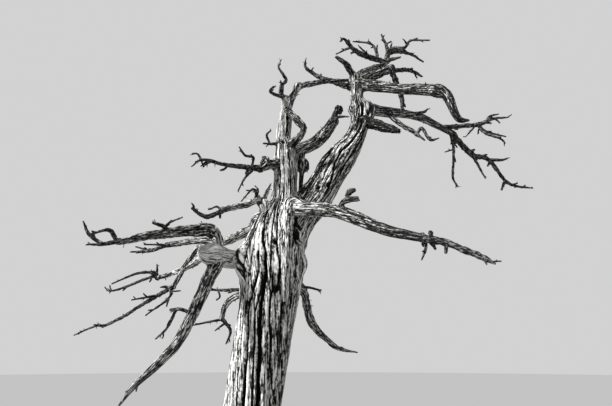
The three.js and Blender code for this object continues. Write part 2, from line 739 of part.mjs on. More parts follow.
Object.entries(masses).forEach(([name, { arms }], index) => {
  const forks = arms.map((arm) => axisFromRuns(
    axes[name].curve.getPoint(arm.at),
    arm.thick,
    arm.runs,
  ));
  const carriers = [axes[name], ...forks];
  const random = seededRandom(index + 1);
  const others = [...limbBalls, ...massBalls];
  const twigs = carriers.flatMap((carrier) => twigsAlong(carrier, random, others));
  const fused = massSolid(carriers, twigs, 0).asOriginal().simplify(fusedTolerance);
  massBalls.push(...[...carriers, ...twigs].flatMap(samplesOf));
  place(name, fused, twigFinish, massSolid(carriers, twigs, massGap));
});

export default group;
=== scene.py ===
"""A dead, leafless mountain pine: the look of its bare wood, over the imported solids.

The trunk, each bough and each mass of twigs of the frame is drawn again here as a surface on a
grid, along the centre lines and by the twig rule that the solids have, with the relief of old bare
wood on it and finer twigs grown on. The tables give sizes in millimetres and degrees, as the
solids have them. Everything that is worked out from them is in metres. A bearing of 0 points to
the right (+X) and 90 points away from the viewer (+Y), and a climb is the angle above level.
"""

import logging
import math
from dataclasses import dataclass, field
from enum import Enum
from itertools import product

import bpy
import numpy as np
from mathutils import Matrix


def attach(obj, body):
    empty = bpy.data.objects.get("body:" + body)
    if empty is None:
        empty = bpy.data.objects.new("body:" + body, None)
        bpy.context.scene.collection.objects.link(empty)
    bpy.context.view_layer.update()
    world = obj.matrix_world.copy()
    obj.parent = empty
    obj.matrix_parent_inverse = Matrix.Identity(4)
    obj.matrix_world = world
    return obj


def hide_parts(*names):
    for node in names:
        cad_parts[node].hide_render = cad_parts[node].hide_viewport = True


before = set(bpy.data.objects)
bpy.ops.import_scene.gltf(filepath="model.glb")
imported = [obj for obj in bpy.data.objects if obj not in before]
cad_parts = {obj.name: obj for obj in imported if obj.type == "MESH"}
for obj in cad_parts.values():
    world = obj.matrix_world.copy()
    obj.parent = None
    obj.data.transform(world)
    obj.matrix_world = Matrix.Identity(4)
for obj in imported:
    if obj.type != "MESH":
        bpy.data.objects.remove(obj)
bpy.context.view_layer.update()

log = logging.getLogger("pine")

MM = 0.001
UP = np.array([0.0, 0.0, 1.0])
RIGHT = np.array([1.0, 0.0, 0.0])
NEARLY_UPRIGHT = 0.9
RIGHT_ANGLE = 90.0
HALF_TURN = 180.0
FULL_TURN = 360.0

Runs = list[tuple[float, float, float, float]]


class Wood(Enum):
    """The finishes of the tree's wood, each by the record's material slot."""

    TRUNK = "trunk_wood"
    BOUGH = "bough_wood"
    TWIG = "twigs"


class Tip(Enum):
    """How a limb ends."""

    ROUND = "worn round"
    BROKEN = "snapped off, with a ragged rim round a rotten core"


@dataclass(frozen=True)
class Arm:
    """A twig that forks from the stem of its mass.

    Args:
        at: the share of the way along the stem.
        thick: its thickness at the fork, in millimetres.
        runs: its stretches, each a length in millimetres, a bearing, a climb and the thickness at
            its end in millimetres.
    """

    at: float
    thick: float
    runs: Runs


@dataclass(frozen=True)
class Limb:
    """A bough, or the stem of a mass of twigs.

    Args:
        on: the name of the limb that carries it.
        at: the share of the way along that limb.
        thick: its thickness there, in millimetres.
        runs: its stretches, as an arm has them.
        arms: the twigs that fork from it.
    """

    on: str
    at: float
    thick: float
    runs: Runs
    arms: list[Arm] = field(default_factory=list)


# The middle of the trunk: x, y, height and thickness.
TRUNK_STATIONS = [
    (0, 0, 0, 1000), (100, 20, 980, 950), (180, 30, 1600, 1010), (285, 10, 2480, 1050),
    (345, 0, 3030, 1200), (365, -10, 3600, 1230), (435, 0, 4210, 800), (545, 20, 4640, 550),
    (570, 30, 5090, 460), (560, 20, 5550, 490), (560, 0, 5800, 430), (510, 0, 6040, 310),
    (520, 10, 6430, 280), (545, 10, 6730, 240), (540, 0, 7100, 170),
]

# The boughs, each after the limb that carries it.
BOUGHS = {
    "leaning_stem": Limb("trunk", 0.25, 450, [
        (1530, 15, 67, 550), (660, 12, 59, 620), (530, 7, 63, 660), (690, 10, 60, 680),
        (440, 10, 58, 510), (390, 10, 66, 440), (420, 21, 82, 400), (500, 146, 84, 330),
        (560, 57, 84, 290),
    ]),
    "upper_right_bough": Limb("leaning_stem", 0.97, 290, [
        (1280, 322, -31, 210), (910, 323, -27, 230),
    ]),
    "upper_right_forearm": Limb("upper_right_bough", 0.97, 200, [
        (230, 326, -44, 190), (680, 329, -74, 115), (190, 9, -1, 40),
    ]),
    "crown_bough": Limb("leaning_stem", 0.98, 230, [(1000, 2, 26, 190)]),
    "crown_second_bough": Limb("leaning_stem", 0.98, 180, [
        (380, 34, 66, 140), (620, 12, 28, 140), (240, 9, 46, 135),
    ]),
    "crown_hooked_bough": Limb("leaning_stem", 0.98, 220, [
        (480, 218, 45, 155), (320, 220, 10, 90),
    ]),
    "bridge_rise": Limb("trunk", 0.92, 150, [(800, 0, 70, 135)]),
    "bridge_span": Limb("bridge_rise", 0.96, 135, [(940, 19, 24, 90), (460, 18, 15, 70)]),
    "rising_bough": Limb("trunk", 0.68, 260, [
        (740, 24, 31, 260), (390, 31, 47, 270), (620, 30, 57, 230),
    ]),
    "loop_bough": Limb("trunk", 0.69, 150, [
        (640, 312, 29, 105), (280, 146, 63, 115), (590, 129, 49, 110),
    ]),
    "hanging_burl": Limb("rising_bough", 0.17, 120, [
        (200, 20, -80, 100), (100, 0, -86, 260), (160, 180, -88, 290), (110, 180, -88, 100),
        (640, 200, -86, 75),
    ]),
    "left_upper_bough": Limb("trunk", 0.62, 190, [(450, 215, -11, 140), (210, 213, -43, 125)]),
    "left_middle_bough": Limb("trunk", 0.47, 140, [
        (380, 202, 6, 130), (140, 206, 26, 120), (200, 224, -36, 100), (650, 221, -25, 90),
    ]),
    "left_spike": Limb("left_middle_bough", 0.28, 130, [(490, 298, 34, 25)]),
    "crook_bough": Limb("trunk", 0.43, 160, [
        (510, 157, 10, 120), (160, 145, -64, 120), (180, 164, -35, 145), (590, 162, -19, 115),
        (450, 165, 10, 100), (800, 168, -3, 85),
    ]),
    "left_elbow_bough": Limb("trunk", 0.33, 360, [
        (680, 208, -3, 330), (570, 218, 1, 315), (110, 219, -9, 260),
    ]),
    "left_long_riser": Limb("left_elbow_bough", 0.6, 180, [
        (220, 326, 83, 160), (240, 189, 68, 180),
    ]),
    "left_long_bough": Limb("left_long_riser", 0.9, 190, [
        (180, 218, 4, 195), (1110, 223, -18, 100), (380, 230, -23, 80),
    ]),
    "left_drooping_bough": Limb("left_elbow_bough", 0.65, 240, [
        (240, 321, -67, 235), (200, 248, -68, 220), (1370, 251, -57, 135), (820, 237, -41, 70),
        (230, 246, -48, 25),
    ]),
    "left_thin_bough": Limb("left_elbow_bough", 0.72, 120, [
        (720, 141, -15, 90), (650, 152, -9, 75),
    ]),
    "left_falling_bough": Limb("left_elbow_bough", 0.78, 120, [
        (300, 140, 31, 95), (920, 143, -45, 85),
    ]),
    "left_low_bough": Limb("trunk", 0.262, 130, [
        (790, 142, -2, 120), (410, 150, -27, 110), (310, 122, -50, 85),
    ]),
    "right_low_bough": Limb("trunk", 0.3, 180, [
        (830, 44, -15, 165), (580, 71, -50, 155), (350, 55, -43, 145), (700, 41, -32, 95),
        (580, 33, -10, 25),
    ]),
    "right_arm": Limb("trunk", 0.47, 230, [
        (630, 303, -19, 265), (750, 339, -10, 240), (1020, 332, -28, 185), (690, 329, -22, 115),
    ]),
    "lower_right_bough": Limb("leaning_stem", 0.798, 330, [
        (300, 17, 15, 320), (320, 26, 9, 250), (1050, 24, 8, 205), (1190, 25, -10, 150),
    ]),
    "right_side_bough": Limb("lower_right_bough", 0.57, 130, [
        (290, 300, -66, 110), (740, 329, -48, 85),
    ]),
    "right_broken_stub": Limb("leaning_stem", 0.733, 250, [
        (920, 320, -35, 170), (250, 317, -35, 90),
    ]),
    "back_low_bough": Limb("trunk", 0.37, 230, [(1150, 95, 12, 170), (850, 86, 20, 120)]),
    "back_upper_bough": Limb("trunk", 0.58, 130, [(700, 90, 27, 95), (520, 98, 24, 45)]),
    "back_leaning_bough": Limb("leaning_stem", 0.51, 220, [
        (900, 86, 26, 140), (480, 80, 26, 60),
    ]),
}

# The masses of bare twigs, each a stem with its arms.
MASSES = {
    "crown_left_twigs": Limb("crown_second_bough", 0.93, 120, [
        (730, 196, 8, 115), (320, 208, 23, 90), (210, 226, 21, 50), (130, 221, -32, 25),
    ], [
        Arm(0.45, 60, [(470, 137, 9, 25)]),
        Arm(0.07, 80, [(630, 94, 71, 60), (220, 148, 54, 50), (460, 171, 17, 25)]),
        Arm(0.12, 60, [(460, 218, 14, 30)]),
    ]),
    "crown_right_twigs": Limb("crown_second_bough", 0.99, 130, [
        (390, 0, 82, 95), (580, 147, 77, 25),
    ], [
        Arm(0.04, 100, [
            (280, 303, 54, 90), (440, 315, -26, 70), (190, 321, 42, 55), (520, 326, -26, 25),
        ]),
        Arm(0.04, 120, [(310, 40, 69, 110), (740, 23, 17, 65), (420, 21, -18, 30)]),
        Arm(0.02, 110, [(540, 300, -26, 35)]),
        Arm(0.68, 40, [(150, 321, 0, 25)]),
    ]),
    "crown_drop_twigs": Limb("crown_bough", 0.97, 140, [
        (880, 41, -68, 100), (320, 180, -83, 45),
    ], [
        Arm(0.03, 110, [(750, 29, 20, 85), (270, 16, -25, 45)]),
    ]),
    "crown_spur_twigs": Limb("leaning_stem", 0.93, 140, [
        (1300, 164, 34, 90), (360, 156, 54, 55), (130, 180, 88, 25),
    ], [
        Arm(0.4, 40, [(130, 305, 20, 25)]),
    ]),
    "stem_top_twigs": Limb("trunk", 0.99, 110, [
        (180, 219, 43, 85), (160, 292, 68, 80), (160, 342, 54, 65), (450, 171, 66, 40),
        (70, 329, 41, 25),
    ], [
        Arm(0.05, 75, [(480, 234, -10, 55), (120, 336, 54, 25)]),
    ]),
    "stem_side_twigs": Limb("trunk", 0.75, 80, [
        (520, 214, -15, 30),
    ], [
        Arm(0.68, 45, [(210, 204, 66, 40), (130, 330, 34, 20)]),
    ]),
    "rising_twigs": Limb("rising_bough", 0.98, 140, [
        (500, 32, 72, 90),
    ], [
        Arm(0.1, 90, [(120, 343, 33, 65), (280, 335, -15, 20)]),
    ]),
    "left_upper_twigs": Limb("left_upper_bough", 0.98, 120, [
        (850, 221, -12, 65), (420, 228, -10, 45), (200, 235, -31, 20),
    ], [
        Arm(0.05, 50, [(270, 147, -32, 40), (310, 150, -57, 20)]),
        Arm(0.08, 50, [(210, 302, 70, 45), (160, 200, 5, 40), (210, 234, 33, 20)]),
        Arm(0.53, 35, [(170, 151, -19, 20)]),
        Arm(0.75, 40, [(180, 160, 55, 30), (90, 180, 6, 20)]),
    ]),
    "left_middle_twigs": Limb("left_middle_bough", 0.98, 80, [
        (460, 231, -31, 80), (320, 233, 11, 40),
    ], [
        Arm(0.1, 40, [(170, 147, 41, 35), (170, 165, -14, 20)]),
    ]),
    "left_arch_twigs": Limb("left_middle_bough", 0.47, 60, [
        (240, 243, 46, 40), (450, 229, -49, 15),
    ], [
        Arm(0.15, 40, [(200, 86, 64, 30), (160, 136, 49, 15)]),
    ]),
    "crook_twigs": Limb("crook_bough", 0.98, 80, [
        (480, 169, -15, 65), (440, 173, -2, 25),
    ], [
        Arm(0.48, 50, [(420, 163, 16, 25)]),
        Arm(0.05, 50, [(490, 196, -4, 20)]),
    ]),
    "left_long_twigs": Limb("left_long_bough", 0.98, 70, [
        (270, 227, -20, 50), (210, 235, -13, 15),
    ], [
        Arm(0.5, 45, [(270, 180, 34, 45), (230, 180, 59, 15)]),
        Arm(0.1, 60, [(200, 232, 48, 55), (300, 229, -24, 15)]),
    ]),
    "left_long_spur_twigs": Limb("left_long_bough", 0.53, 90, [
        (180, 245, 24, 70), (180, 233, 4, 30),
    ], [
        Arm(0.35, 40, [(80, 346, 54, 35), (300, 337, 16, 15)]),
    ]),
    "left_drooping_twigs": Limb("left_drooping_bough", 0.52, 60, [
        (260, 148, 19, 50), (220, 157, -1, 40),
    ], [
        Arm(0.78, 50, [(300, 144, -58, 35), (310, 147, -33, 15)]),
    ]),
    "left_thin_twigs": Limb("left_thin_bough", 0.98, 70, [
        (130, 151, 15, 55), (960, 161, -13, 35), (130, 168, 2, 15),
    ], [
        Arm(0.06, 60, [(80, 229, 61, 55), (320, 206, -5, 45), (470, 209, -29, 20)]),
    ]),
    "left_falling_twigs": Limb("left_falling_bough", 0.98, 80, [
        (530, 150, -20, 65), (1250, 156, -22, 45), (170, 161, 4, 40), (550, 163, -18, 20),
    ], [
        Arm(0.04, 50, [(160, 301, -58, 45), (120, 232, -54, 45), (450, 222, -41, 15)]),
        Arm(0.2, 50, [(460, 196, -13, 20)]),
    ]),
    "left_low_twigs": Limb("left_low_bough", 0.98, 80, [
        (330, 39, -47, 55), (300, 123, -56, 20),
    ], [
        Arm(0.06, 50, [(580, 194, -13, 20)]),
        Arm(0.2, 40, [(280, 158, -30, 20)]),
    ]),
    "left_slim_twigs": Limb("trunk", 0.275, 80, [
        (990, 146, -2, 60), (630, 164, 5, 25),
    ], [
        Arm(0.75, 35, [(140, 0, -68, 30), (90, 180, -52, 20)]),
    ]),
    "right_slim_twigs": Limb("trunk", 0.283, 80, [(1190, 36, -3, 30)]),
    "right_arm_twigs": Limb("right_arm", 0.98, 110, [
        (380, 331, -20, 100), (590, 316, -31, 80), (220, 309, -36, 20),
    ]),
    "right_arm_spur_twigs": Limb("right_arm", 0.55, 110, [
        (190, 236, 63, 85), (360, 325, -3, 25),
    ], [
        Arm(0.75, 60, [(110, 133, 79, 60), (130, 345, 34, 60)]),
    ]),
    "right_arm_hanging_twigs": Limb("right_arm", 0.97, 65, [
        (150, 12, -49, 50), (250, 161, -70, 15),
    ]),
    "lower_right_twigs": Limb("lower_right_bough", 0.99, 145, [
        (800, 27, -36, 130), (490, 17, -9, 105), (710, 25, -45, 80), (430, 20, -15, 60),
        (490, 16, 0, 25),
    ], [
        Arm(0.2, 80, [(730, 0, -71, 25)]),
        Arm(0.4, 75, [(370, 0, -2, 65), (180, 0, 19, 30)]),
        Arm(0.6, 70, [(300, 181, -63, 50)]),
    ]),
    "lower_right_upper_twigs": Limb("lower_right_bough", 0.92, 115, [
        (900, 343, -3, 100), (290, 331, 8, 75), (400, 350, 2, 25),
    ], [
        Arm(0.56, 60, [(120, 343, 60, 55), (230, 353, 14, 25)]),
        Arm(0.33, 70, [(180, 27, -52, 65), (630, 11, -12, 25)]),
        Arm(0.31, 70, [(350, 316, -64, 60), (400, 345, -35, 40), (140, 336, -61, 20)]),
        Arm(0.3, 50, [(590, 199, -48, 20)]),
    ]),
    "lower_right_hanging_twigs": Limb("lower_right_bough", 0.985, 75, [
        (510, 257, -83, 65), (890, 209, -79, 50), (240, 338, -71, 20),
    ], [
        Arm(0.34, 35, [(280, 192, -22, 20)]),
    ]),
    "right_side_twigs": Limb("right_side_bough", 0.98, 80, [
        (300, 323, -51, 25),
    ], [
        Arm(0.1, 70, [(170, 331, 47, 65), (410, 322, -63, 55), (160, 329, -4, 20)]),
    ]),
    "right_top_twigs": Limb("lower_right_bough", 0.7, 70, [(420, 2, 14, 65), (110, 0, 42, 30)]),
    "back_low_twigs": Limb("back_low_bough", 0.98, 110, [
        (420, 96, 34, 80), (380, 78, 10, 25),
    ], [
        Arm(0.2, 70, [(300, 60, 40, 45), (260, 80, 60, 20)]),
        Arm(0.4, 60, [(280, 130, 20, 40), (220, 110, -20, 20)]),
    ]),
}


@dataclass(frozen=True)
class TwigRule:
    """The rule that adds small twigs to each mass, as the solids have it.

    A twig reaches a share of its carrier's length, leaves it at a spread to one side in turn, and
    bends to a new spread part-way. Each `range` is how much a seeded number may add.
    """

    spacing: float = 260 * MM
    first_place: float = 0.4
    place_range: float = 0.5
    reach_share: float = 0.34
    shortest: float = 90 * MM
    longest: float = 250 * MM
    least_length: float = 0.6
    length_range: float = 0.4
    shorter_at_tip: float = 0.5
    side_turn: float = 90
    turn_range: float = 140
    least_spread: float = 35
    spread_range: float = 30
    least_bend: float = 0.4
    bend_range: float = 0.9
    first_part: float = 0.55
    least_thickness: float = 16 * MM
    thickness_share: float = 0.55
    middle_share: float = 0.8
    tip_share: float = 0.5
    clearance: float = 25 * MM


@dataclass
class Seeded:
    """The repeatable numbers from 0 to 1 that the solids' twigs are drawn with.

    Args:
        state: the seed, and then the last whole number drawn.
    """

    state: int

    MULTIPLIER = 1664525
    STEP = 1013904223
    RANGE = 2**32

    def draw(self) -> float:
        """The next number: the state times a multiplier plus a step, as a share of the range."""
        self.state = (self.state * self.MULTIPLIER + self.STEP) % self.RANGE
        return self.state / self.RANGE


class Noise:
    """Smooth seeded noise in space: slopes at the corners of cells, blended in between."""

    CELLS = 256
    GAIN = 1.6

    def __init__(self, seed: int) -> None:
        """Draws the order of the corners and their slopes.

        Args:
            seed: the seed of both.
        """
        rng = np.random.default_rng(seed)
        self.order = rng.permutation(self.CELLS)
        slopes = rng.normal(size=(self.CELLS, 3))
        self.slopes = slopes / np.linalg.norm(slopes, axis=1, keepdims=True)

    def at(self, points: np.ndarray, size: float | tuple[float, float, float]) -> np.ndarray:
        """The noise at points: at each of a cell's eight corners, the corner's slope times the way
        from it, weighted by 6t⁵ - 15t⁴ + 10t³ of the way t along each side of the cell.

        Args:
            points: any array of points in metres, the last axis being x, y and z.
            size: the size of a cell in metres, alike or different in x, y and z.

        Returns:
            Values from about -1 to 1, one for each point.
        """
        scaled = points / np.asarray(size, float)
        cell = np.floor(scaled).astype(int)
        within = scaled - cell
        blend = within**3 * (within * (within * 6 - 15) + 10)
        total = np.zeros(points.shape[:-1])
        for corner in product((0, 1), repeat=3):
            x, y, z = np.moveaxis((cell + corner) % self.CELLS, -1, 0)
            row = self.order[(self.order[(self.order[x] + y) % self.CELLS] + z) % self.CELLS]
            along = ((within - corner) * self.slopes[row]).sum(-1)
            total += along * np.where(corner, blend, 1 - blend).prod(-1)
        return np.clip(total * self.GAIN, -1, 1)


def smooth_step(values: np.ndarray, low: float, high: float) -> np.ndarray:
    """A smooth rise from 0 at low to 1 at high: 3t² - 2t³ of the share t of the way.

    Args:
        values: where to work it out.
        low: the value at which it leaves 0.
        high: the value at which it reaches 1.

    Returns:
        The rise at each value.
    """
    share = np.clip((values - low) / (high - low), 0, 1)
    return share**2 * (3 - 2 * share)


def heading(bearing: float, climb: float) -> np.ndarray:
    """A unit vector along a bearing and a climb, both in degrees."""
    turn, rise = math.radians(bearing), math.radians(climb)
    return np.array([
        math.cos(turn) * math.cos(rise),
        math.sin(turn) * math.cos(rise),
        math.sin(rise),
    ])


def unit(vectors: np.ndarray) -> np.ndarray:
    """The vectors, each made one long."""
    return vectors / np.linalg.norm(vectors, axis=-1, keepdims=True)


@dataclass
class Balls:
    """Balls along a limb, which stand for it when it is tested what lies near it.

    Args:
        centres: their centres, in metres, one row each.
        radii: their radii, in metres.
    """

    centres: np.ndarray
    radii: np.ndarray

    def clearance(self, points: np.ndarray) -> np.ndarray:
        """How far each point is from the nearest ball's surface, and below 0 inside it.

        Args:
            points: points in metres, one row each.

        Returns:
            The distance of each point: the least of its distances to the centres less the radii.
        """
        squares = (points**2).sum(1)[:, None] + (self.centres**2).sum(1)[None, :]
        apart = np.sqrt(np.maximum(squares - 2 * points @ self.centres.T, 0))
        return (apart - self.radii[None, :]).min(1)


@dataclass
class Axis:
    """A smooth centre line through points, with the thickness at each.

    Args:
        points: the points, in metres, one row each.
        thicknesses: the thickness at each point, in metres.
    """

    points: np.ndarray
    thicknesses: np.ndarray

    STEP = 1e-4
    LENGTH_PARTS = 200
    LEAST_PARTS = 3
    PARTS_PER_RUN = 40
    BALLS_PER_RUN = 8

    @classmethod
    def follow(cls, root: np.ndarray, thick: float, runs: Runs) -> "Axis":
        """The axis of a limb that follows its runs from a root point.

        Args:
            root: where it starts, in metres.
            thick: its thickness there, in millimetres.
            runs: its stretches.

        Returns:
            The axis.
        """
        steps = [length * MM * heading(bearing, climb) for length, bearing, climb, _ in runs]
        points = root + np.vstack([np.zeros(3), np.cumsum(steps, axis=0)])
        return cls(points, MM * np.array([thick, *(run[-1] for run in runs)], float))

    def position(self, shares: np.ndarray | float) -> np.ndarray:
        """Points on the line: between two of its points a cubic, whose slopes at both come from
        the points on either side, spaced by the square roots of the distances.

        Args:
            shares: shares of the way along, from 0 to 1.

        Returns:
            One row for each share.
        """
        last = len(self.points) - 1
        place = np.clip(np.atleast_1d(shares), 0, 1) * last
        run = np.minimum(place.astype(int), last - 1)
        part = (place - run)[:, None]
        before = 2 * self.points[0] - self.points[1]
        after = 2 * self.points[-1] - self.points[-2]
        line = np.vstack([before, self.points, after])
        gaps = np.sqrt(np.linalg.norm(np.diff(line, axis=0), axis=1))[:, None]
        p0, p1, p2, p3 = (line[run + i] for i in range(4))
        g0, g1, g2 = (gaps[run + i] for i in range(3))
        middle = (p2 - p1) / g1
        slope1 = g1 * ((p1 - p0) / g0 - (p2 - p0) / (g0 + g1) + middle)
        slope2 = g1 * (middle - (p3 - p1) / (g1 + g2) + (p3 - p2) / g2)
        square = -3 * p1 + 3 * p2 - 2 * slope1 - slope2
        cube = 2 * p1 - 2 * p2 + slope1 + slope2
        return p1 + part * (slope1 + part * (square + part * cube))

    def tangent(self, shares: np.ndarray | float) -> np.ndarray:
        """Unit vectors along the line: from a little before each share to a little after it.

        Args:
            shares: shares of the way along, from 0 to 1.

        Returns:
            One row for each share.
        """
        shares = np.atleast_1d(shares)
        ahead = self.position(np.minimum(shares + self.STEP, 1))
        return unit(ahead - self.position(np.maximum(shares - self.STEP, 0)))

    def radius(self, shares: np.ndarray | float) -> np.ndarray:
        """Half the thickness, which changes evenly from one point of the line to the next.

        Args:
            shares: shares of the way along, from 0 to 1.

        Returns:
            The radius at each share, in metres.
        """
        last = len(self.thicknesses) - 1
        place = np.clip(np.atleast_1d(shares), 0, 1) * last
        return np.interp(place, np.arange(last + 1), self.thicknesses) / 2

    def length(self) -> float:
        """The length of the line, in metres, as that of many short chords."""
        points = self.position(np.linspace(0, 1, self.LENGTH_PARTS + 1))
        return float(np.linalg.norm(np.diff(points, axis=0), axis=1).sum())

    def even_shares(self, step: float) -> tuple[np.ndarray, np.ndarray]:
        """Shares that lie evenly along the line.

        Args:
            step: about how far apart, in metres.

        Returns:
            The shares, and how far along the line each lies, in metres.
        """
        table = np.linspace(0, 1, self.PARTS_PER_RUN * (len(self.points) - 1) + 1)
        chords = np.linalg.norm(np.diff(self.position(table), axis=0), axis=1)
        along = np.concatenate([[0], np.cumsum(chords)])
        parts = max(self.LEAST_PARTS, round(along[-1] / step))
        places = np.linspace(0, along[-1], parts + 1)
        return np.interp(places, along, table), places

    def balls(self) -> Balls:
        """The balls along the line that the solids' twigs are kept clear of."""
        shares = np.linspace(0, 1, self.BALLS_PER_RUN * (len(self.points) - 1) + 1)
        return Balls(self.position(shares), self.radius(shares))


@dataclass(frozen=True)
class Relief:
    """The relief of bare wood on a limb.

    Args:
        gnarl_share: how far slow swellings stand out, as a share of the radius.
        gnarl_size: how far apart they are, in metres.
        strand_share: how far the rounded strands of wood stand out, as a share of the radius.
        strand_size: how wide a strand is, in metres.
        crack_depth: how deep the drying cracks are, in metres.
        crack_size: how far apart they are, in metres.
        stretch: how many times longer than wide the strands and cracks are.
        twist: how far the grain turns round the limb, in degrees a metre.
        wander: how far the limb's middle strays to the sides, as a share of the radius.
    """

    gnarl_share: float
    gnarl_size: float
    strand_share: float
    strand_size: float
    crack_depth: float
    crack_size: float
    stretch: float
    twist: float
    wander: float

    GROOVE_BAND = 0.14
    CRACK_BAND = 0.17
    # Painted shade: how dark the grooves between strands and the cracks are drawn.
    GROOVE_SHADE = 0.3
    CRACK_SHADE = 0.5
    STRAND_MIDDLE = 0.3
    STRAND_TOP = 0.6
    CRACK_OFFSET = 9.7
    KNOB_SHARE = 0.6
    KNOB_OFFSET = 3.3
    FINE_SHARE = 0.5
    FINE_PART = 0.45
    FINE_STRETCH = 0.5

    def on(self, noise: Noise, place: np.ndarray, grain: np.ndarray, radius: np.ndarray
           ) -> tuple[np.ndarray, np.ndarray]:
        """How far the wood stands out, and how much painted shade each point gets for lying in a
        groove or crack.

        A strand is the size of a noise that is long along the grain, so that its zeros are sharp
        grooves between rounded strands, and finer ones lie on it. A crack is a narrow band about
        the zeros of another.

        Args:
            noise: the noise to use.
            place: the points of the limb without relief.
            grain: the same points with the limb laid straight.
            radius: the limb's radius at them.

        Returns:
            The rise in metres, and the hollow from 0 on the surface to 1 deep inside, by which the
            wood is painted darker as painted shade.
        """
        slow = noise.at(place, self.gnarl_size)
        slow += self.KNOB_SHARE * noise.at(place + self.KNOB_OFFSET, self.gnarl_size / 2)
        long = self.strand_size * self.stretch
        strand = np.abs(noise.at(grain, (self.strand_size, self.strand_size, long)))
        fine = self.strand_size * self.FINE_PART
        long = fine * self.stretch * self.FINE_STRETCH
        fibres = np.abs(noise.at(grain + self.KNOB_OFFSET, (fine, fine, long)))
        long = self.crack_size * self.stretch
        moved = grain + self.CRACK_OFFSET
        line = np.abs(noise.at(moved, (self.crack_size, self.crack_size, long)))
        crack = np.clip(1 - line / self.CRACK_BAND, 0, 1)
        rise = radius * self.gnarl_share * slow
        rounded = np.minimum(strand, self.STRAND_TOP)
        rise += radius * self.strand_share * (rounded - self.STRAND_MIDDLE)
        rise += radius * self.strand_share * self.FINE_SHARE * (fibres - self.STRAND_MIDDLE)
        rise -= self.crack_depth * crack
        groove = np.clip(1 - strand / self.GROOVE_BAND, 0, 1)
        return rise, np.maximum(self.CRACK_SHADE * crack, self.GROOVE_SHADE * groove)


@dataclass
class Grid:
    """A closed surface on a grid of rings along a limb and sides round it.

    Args:
        points: its points in metres, by ring and side.
        grain: the same points with the limb laid straight, which the pattern of the wood follows.
        hollow: how deep in a groove, crack or hole each point is, from 0 to 1. The material paints
            the wood darker by it, as painted shade.
        paleness: how much paler the wood is drawn than the rest, as a share of the way to white.
            On the trunk and on some boughs it is painted light, and on the strand along the
            leaning stem painted shade.
    """

    points: np.ndarray
    grain: np.ndarray
    hollow: np.ndarray
    paleness: np.ndarray | float = 0.0

    @staticmethod
    def ends(values: np.ndarray) -> np.ndarray:
        """One value for each corner of the mesh: those of the grid, then the middle of the first
        ring and of the last."""
        flat = values.reshape(-1, *values.shape[2:])
        return np.concatenate([flat, values[:1].mean(1), values[-1:].mean(1)])

    def faces(self) -> tuple[np.ndarray, np.ndarray]:
        """The grid's faces, turned outwards.

        Returns:
            The four corners of each face between two rings, and the three of each that closes an
            end.
        """
        rings, sides = self.hollow.shape
        side = np.arange(sides)
        following = (side + 1) % sides
        first = (np.arange(rings - 1) * sides)[:, None]
        quads = np.stack([
            first + side,
            first + following,
            first + sides + following,
            first + sides + side,
        ], -1).reshape(-1, 4)
        last = (rings - 1) * sides
        root = np.full(sides, rings * sides)
        fans = np.concatenate([
            np.stack([root, following, side], -1),
            np.stack([root + 1, last + side, last + following], -1),
        ])
        return quads, fans


def in_scene(name: str, data: bpy.types.ID) -> bpy.types.Object:
    """Puts a mesh, a lamp or a camera into the scene.

    Args:
        name: the object's name.
        data: what it holds.

    Returns:
        The object, at the origin.
    """
    made = bpy.data.objects.new(name, data)
    bpy.context.scene.collection.objects.link(made)
    return made


def mesh_of(name: str, grids: list[Grid]) -> bpy.types.Object:
    """One object of closed surfaces, with their grain, hollows and paleness as attributes.

    Args:
        name: the object's name.
        grids: the surfaces.

    Returns:
        The object, at the origin, with its place in its mesh.
    """
    points = [grid.ends(grid.points) for grid in grids]
    starts = np.cumsum([0, *(len(part) for part in points[:-1])])
    faces = [grid.faces() for grid in grids]
    quads = np.concatenate([part[0] + start for part, start in zip(faces, starts)])
    fans = np.concatenate([part[1] + start for part, start in zip(faces, starts)])
    corners = np.concatenate([quads.ravel(), fans.ravel()])
    sizes = np.concatenate([np.full(len(quads), 4), np.full(len(fans), 3)])
    mesh = bpy.data.meshes.new(name)
    mesh.vertices.add(sum(len(part) for part in points))
    mesh.loops.add(len(corners))
    mesh.polygons.add(len(sizes))
    mesh.vertices.foreach_set("co", np.concatenate(points).astype(np.float32).ravel())
    mesh.loops.foreach_set("vertex_index", corners.astype(np.int32))
    mesh.polygons.foreach_set("loop_start", (np.cumsum(sizes) - sizes).astype(np.int32))
    mesh.polygons.foreach_set("loop_total", sizes.astype(np.int32))
    mesh.polygons.foreach_set("use_smooth", np.ones(len(sizes), bool))
    pale = [np.broadcast_to(grid.paleness, grid.hollow.shape) for grid in grids]
    for label, kind, slot, values in (
        ("grain", "FLOAT_VECTOR", "vector", [grid.grain for grid in grids]),
        ("hollow", "FLOAT", "value", [grid.hollow for grid in grids]),
        ("paleness", "FLOAT", "value", pale),
    ):
        whole = np.concatenate([grid.ends(part) for grid, part in zip(grids, values)])
        attribute = mesh.attributes.new(label, kind, "POINT")
        attribute.data.foreach_set(slot, whole.astype(np.float32).ravel())
    mesh.validate()
    mesh.update()
    return in_scene(name, mesh)


@dataclass(frozen=True)
class Furrow:
    """A split that winds along a limb between two strands, or a strand that stands out.

    Args:
        path: how far along the limb it goes and which side of it it is on there, in millimetres
            and degrees. On the trunk these are its heights and bearings.
        half_width: half its width at the surface, in millimetres.
        depth: how deep it is, or below 0 how far it stands out, in millimetres.
    """

    path: list[tuple[float, float]]
    half_width: float
    depth: float


@dataclass(frozen=True)
class Spot:
    """A knot hole, a scar or a lump on a limb.

    Args:
        bearing: the side of the limb it is on, in degrees. On the trunk this is its bearing.
        height: how far along the limb it lies, or its height on the trunk, in millimetres.
        half_width: half its width, in millimetres.
        half_height: half its height from end to end, in millimetres.
        rise: how far it stands out, or goes in where it is below 0, in millimetres.
    """

    bearing: float
    height: float
    half_width: float
    half_height: float
    rise: float


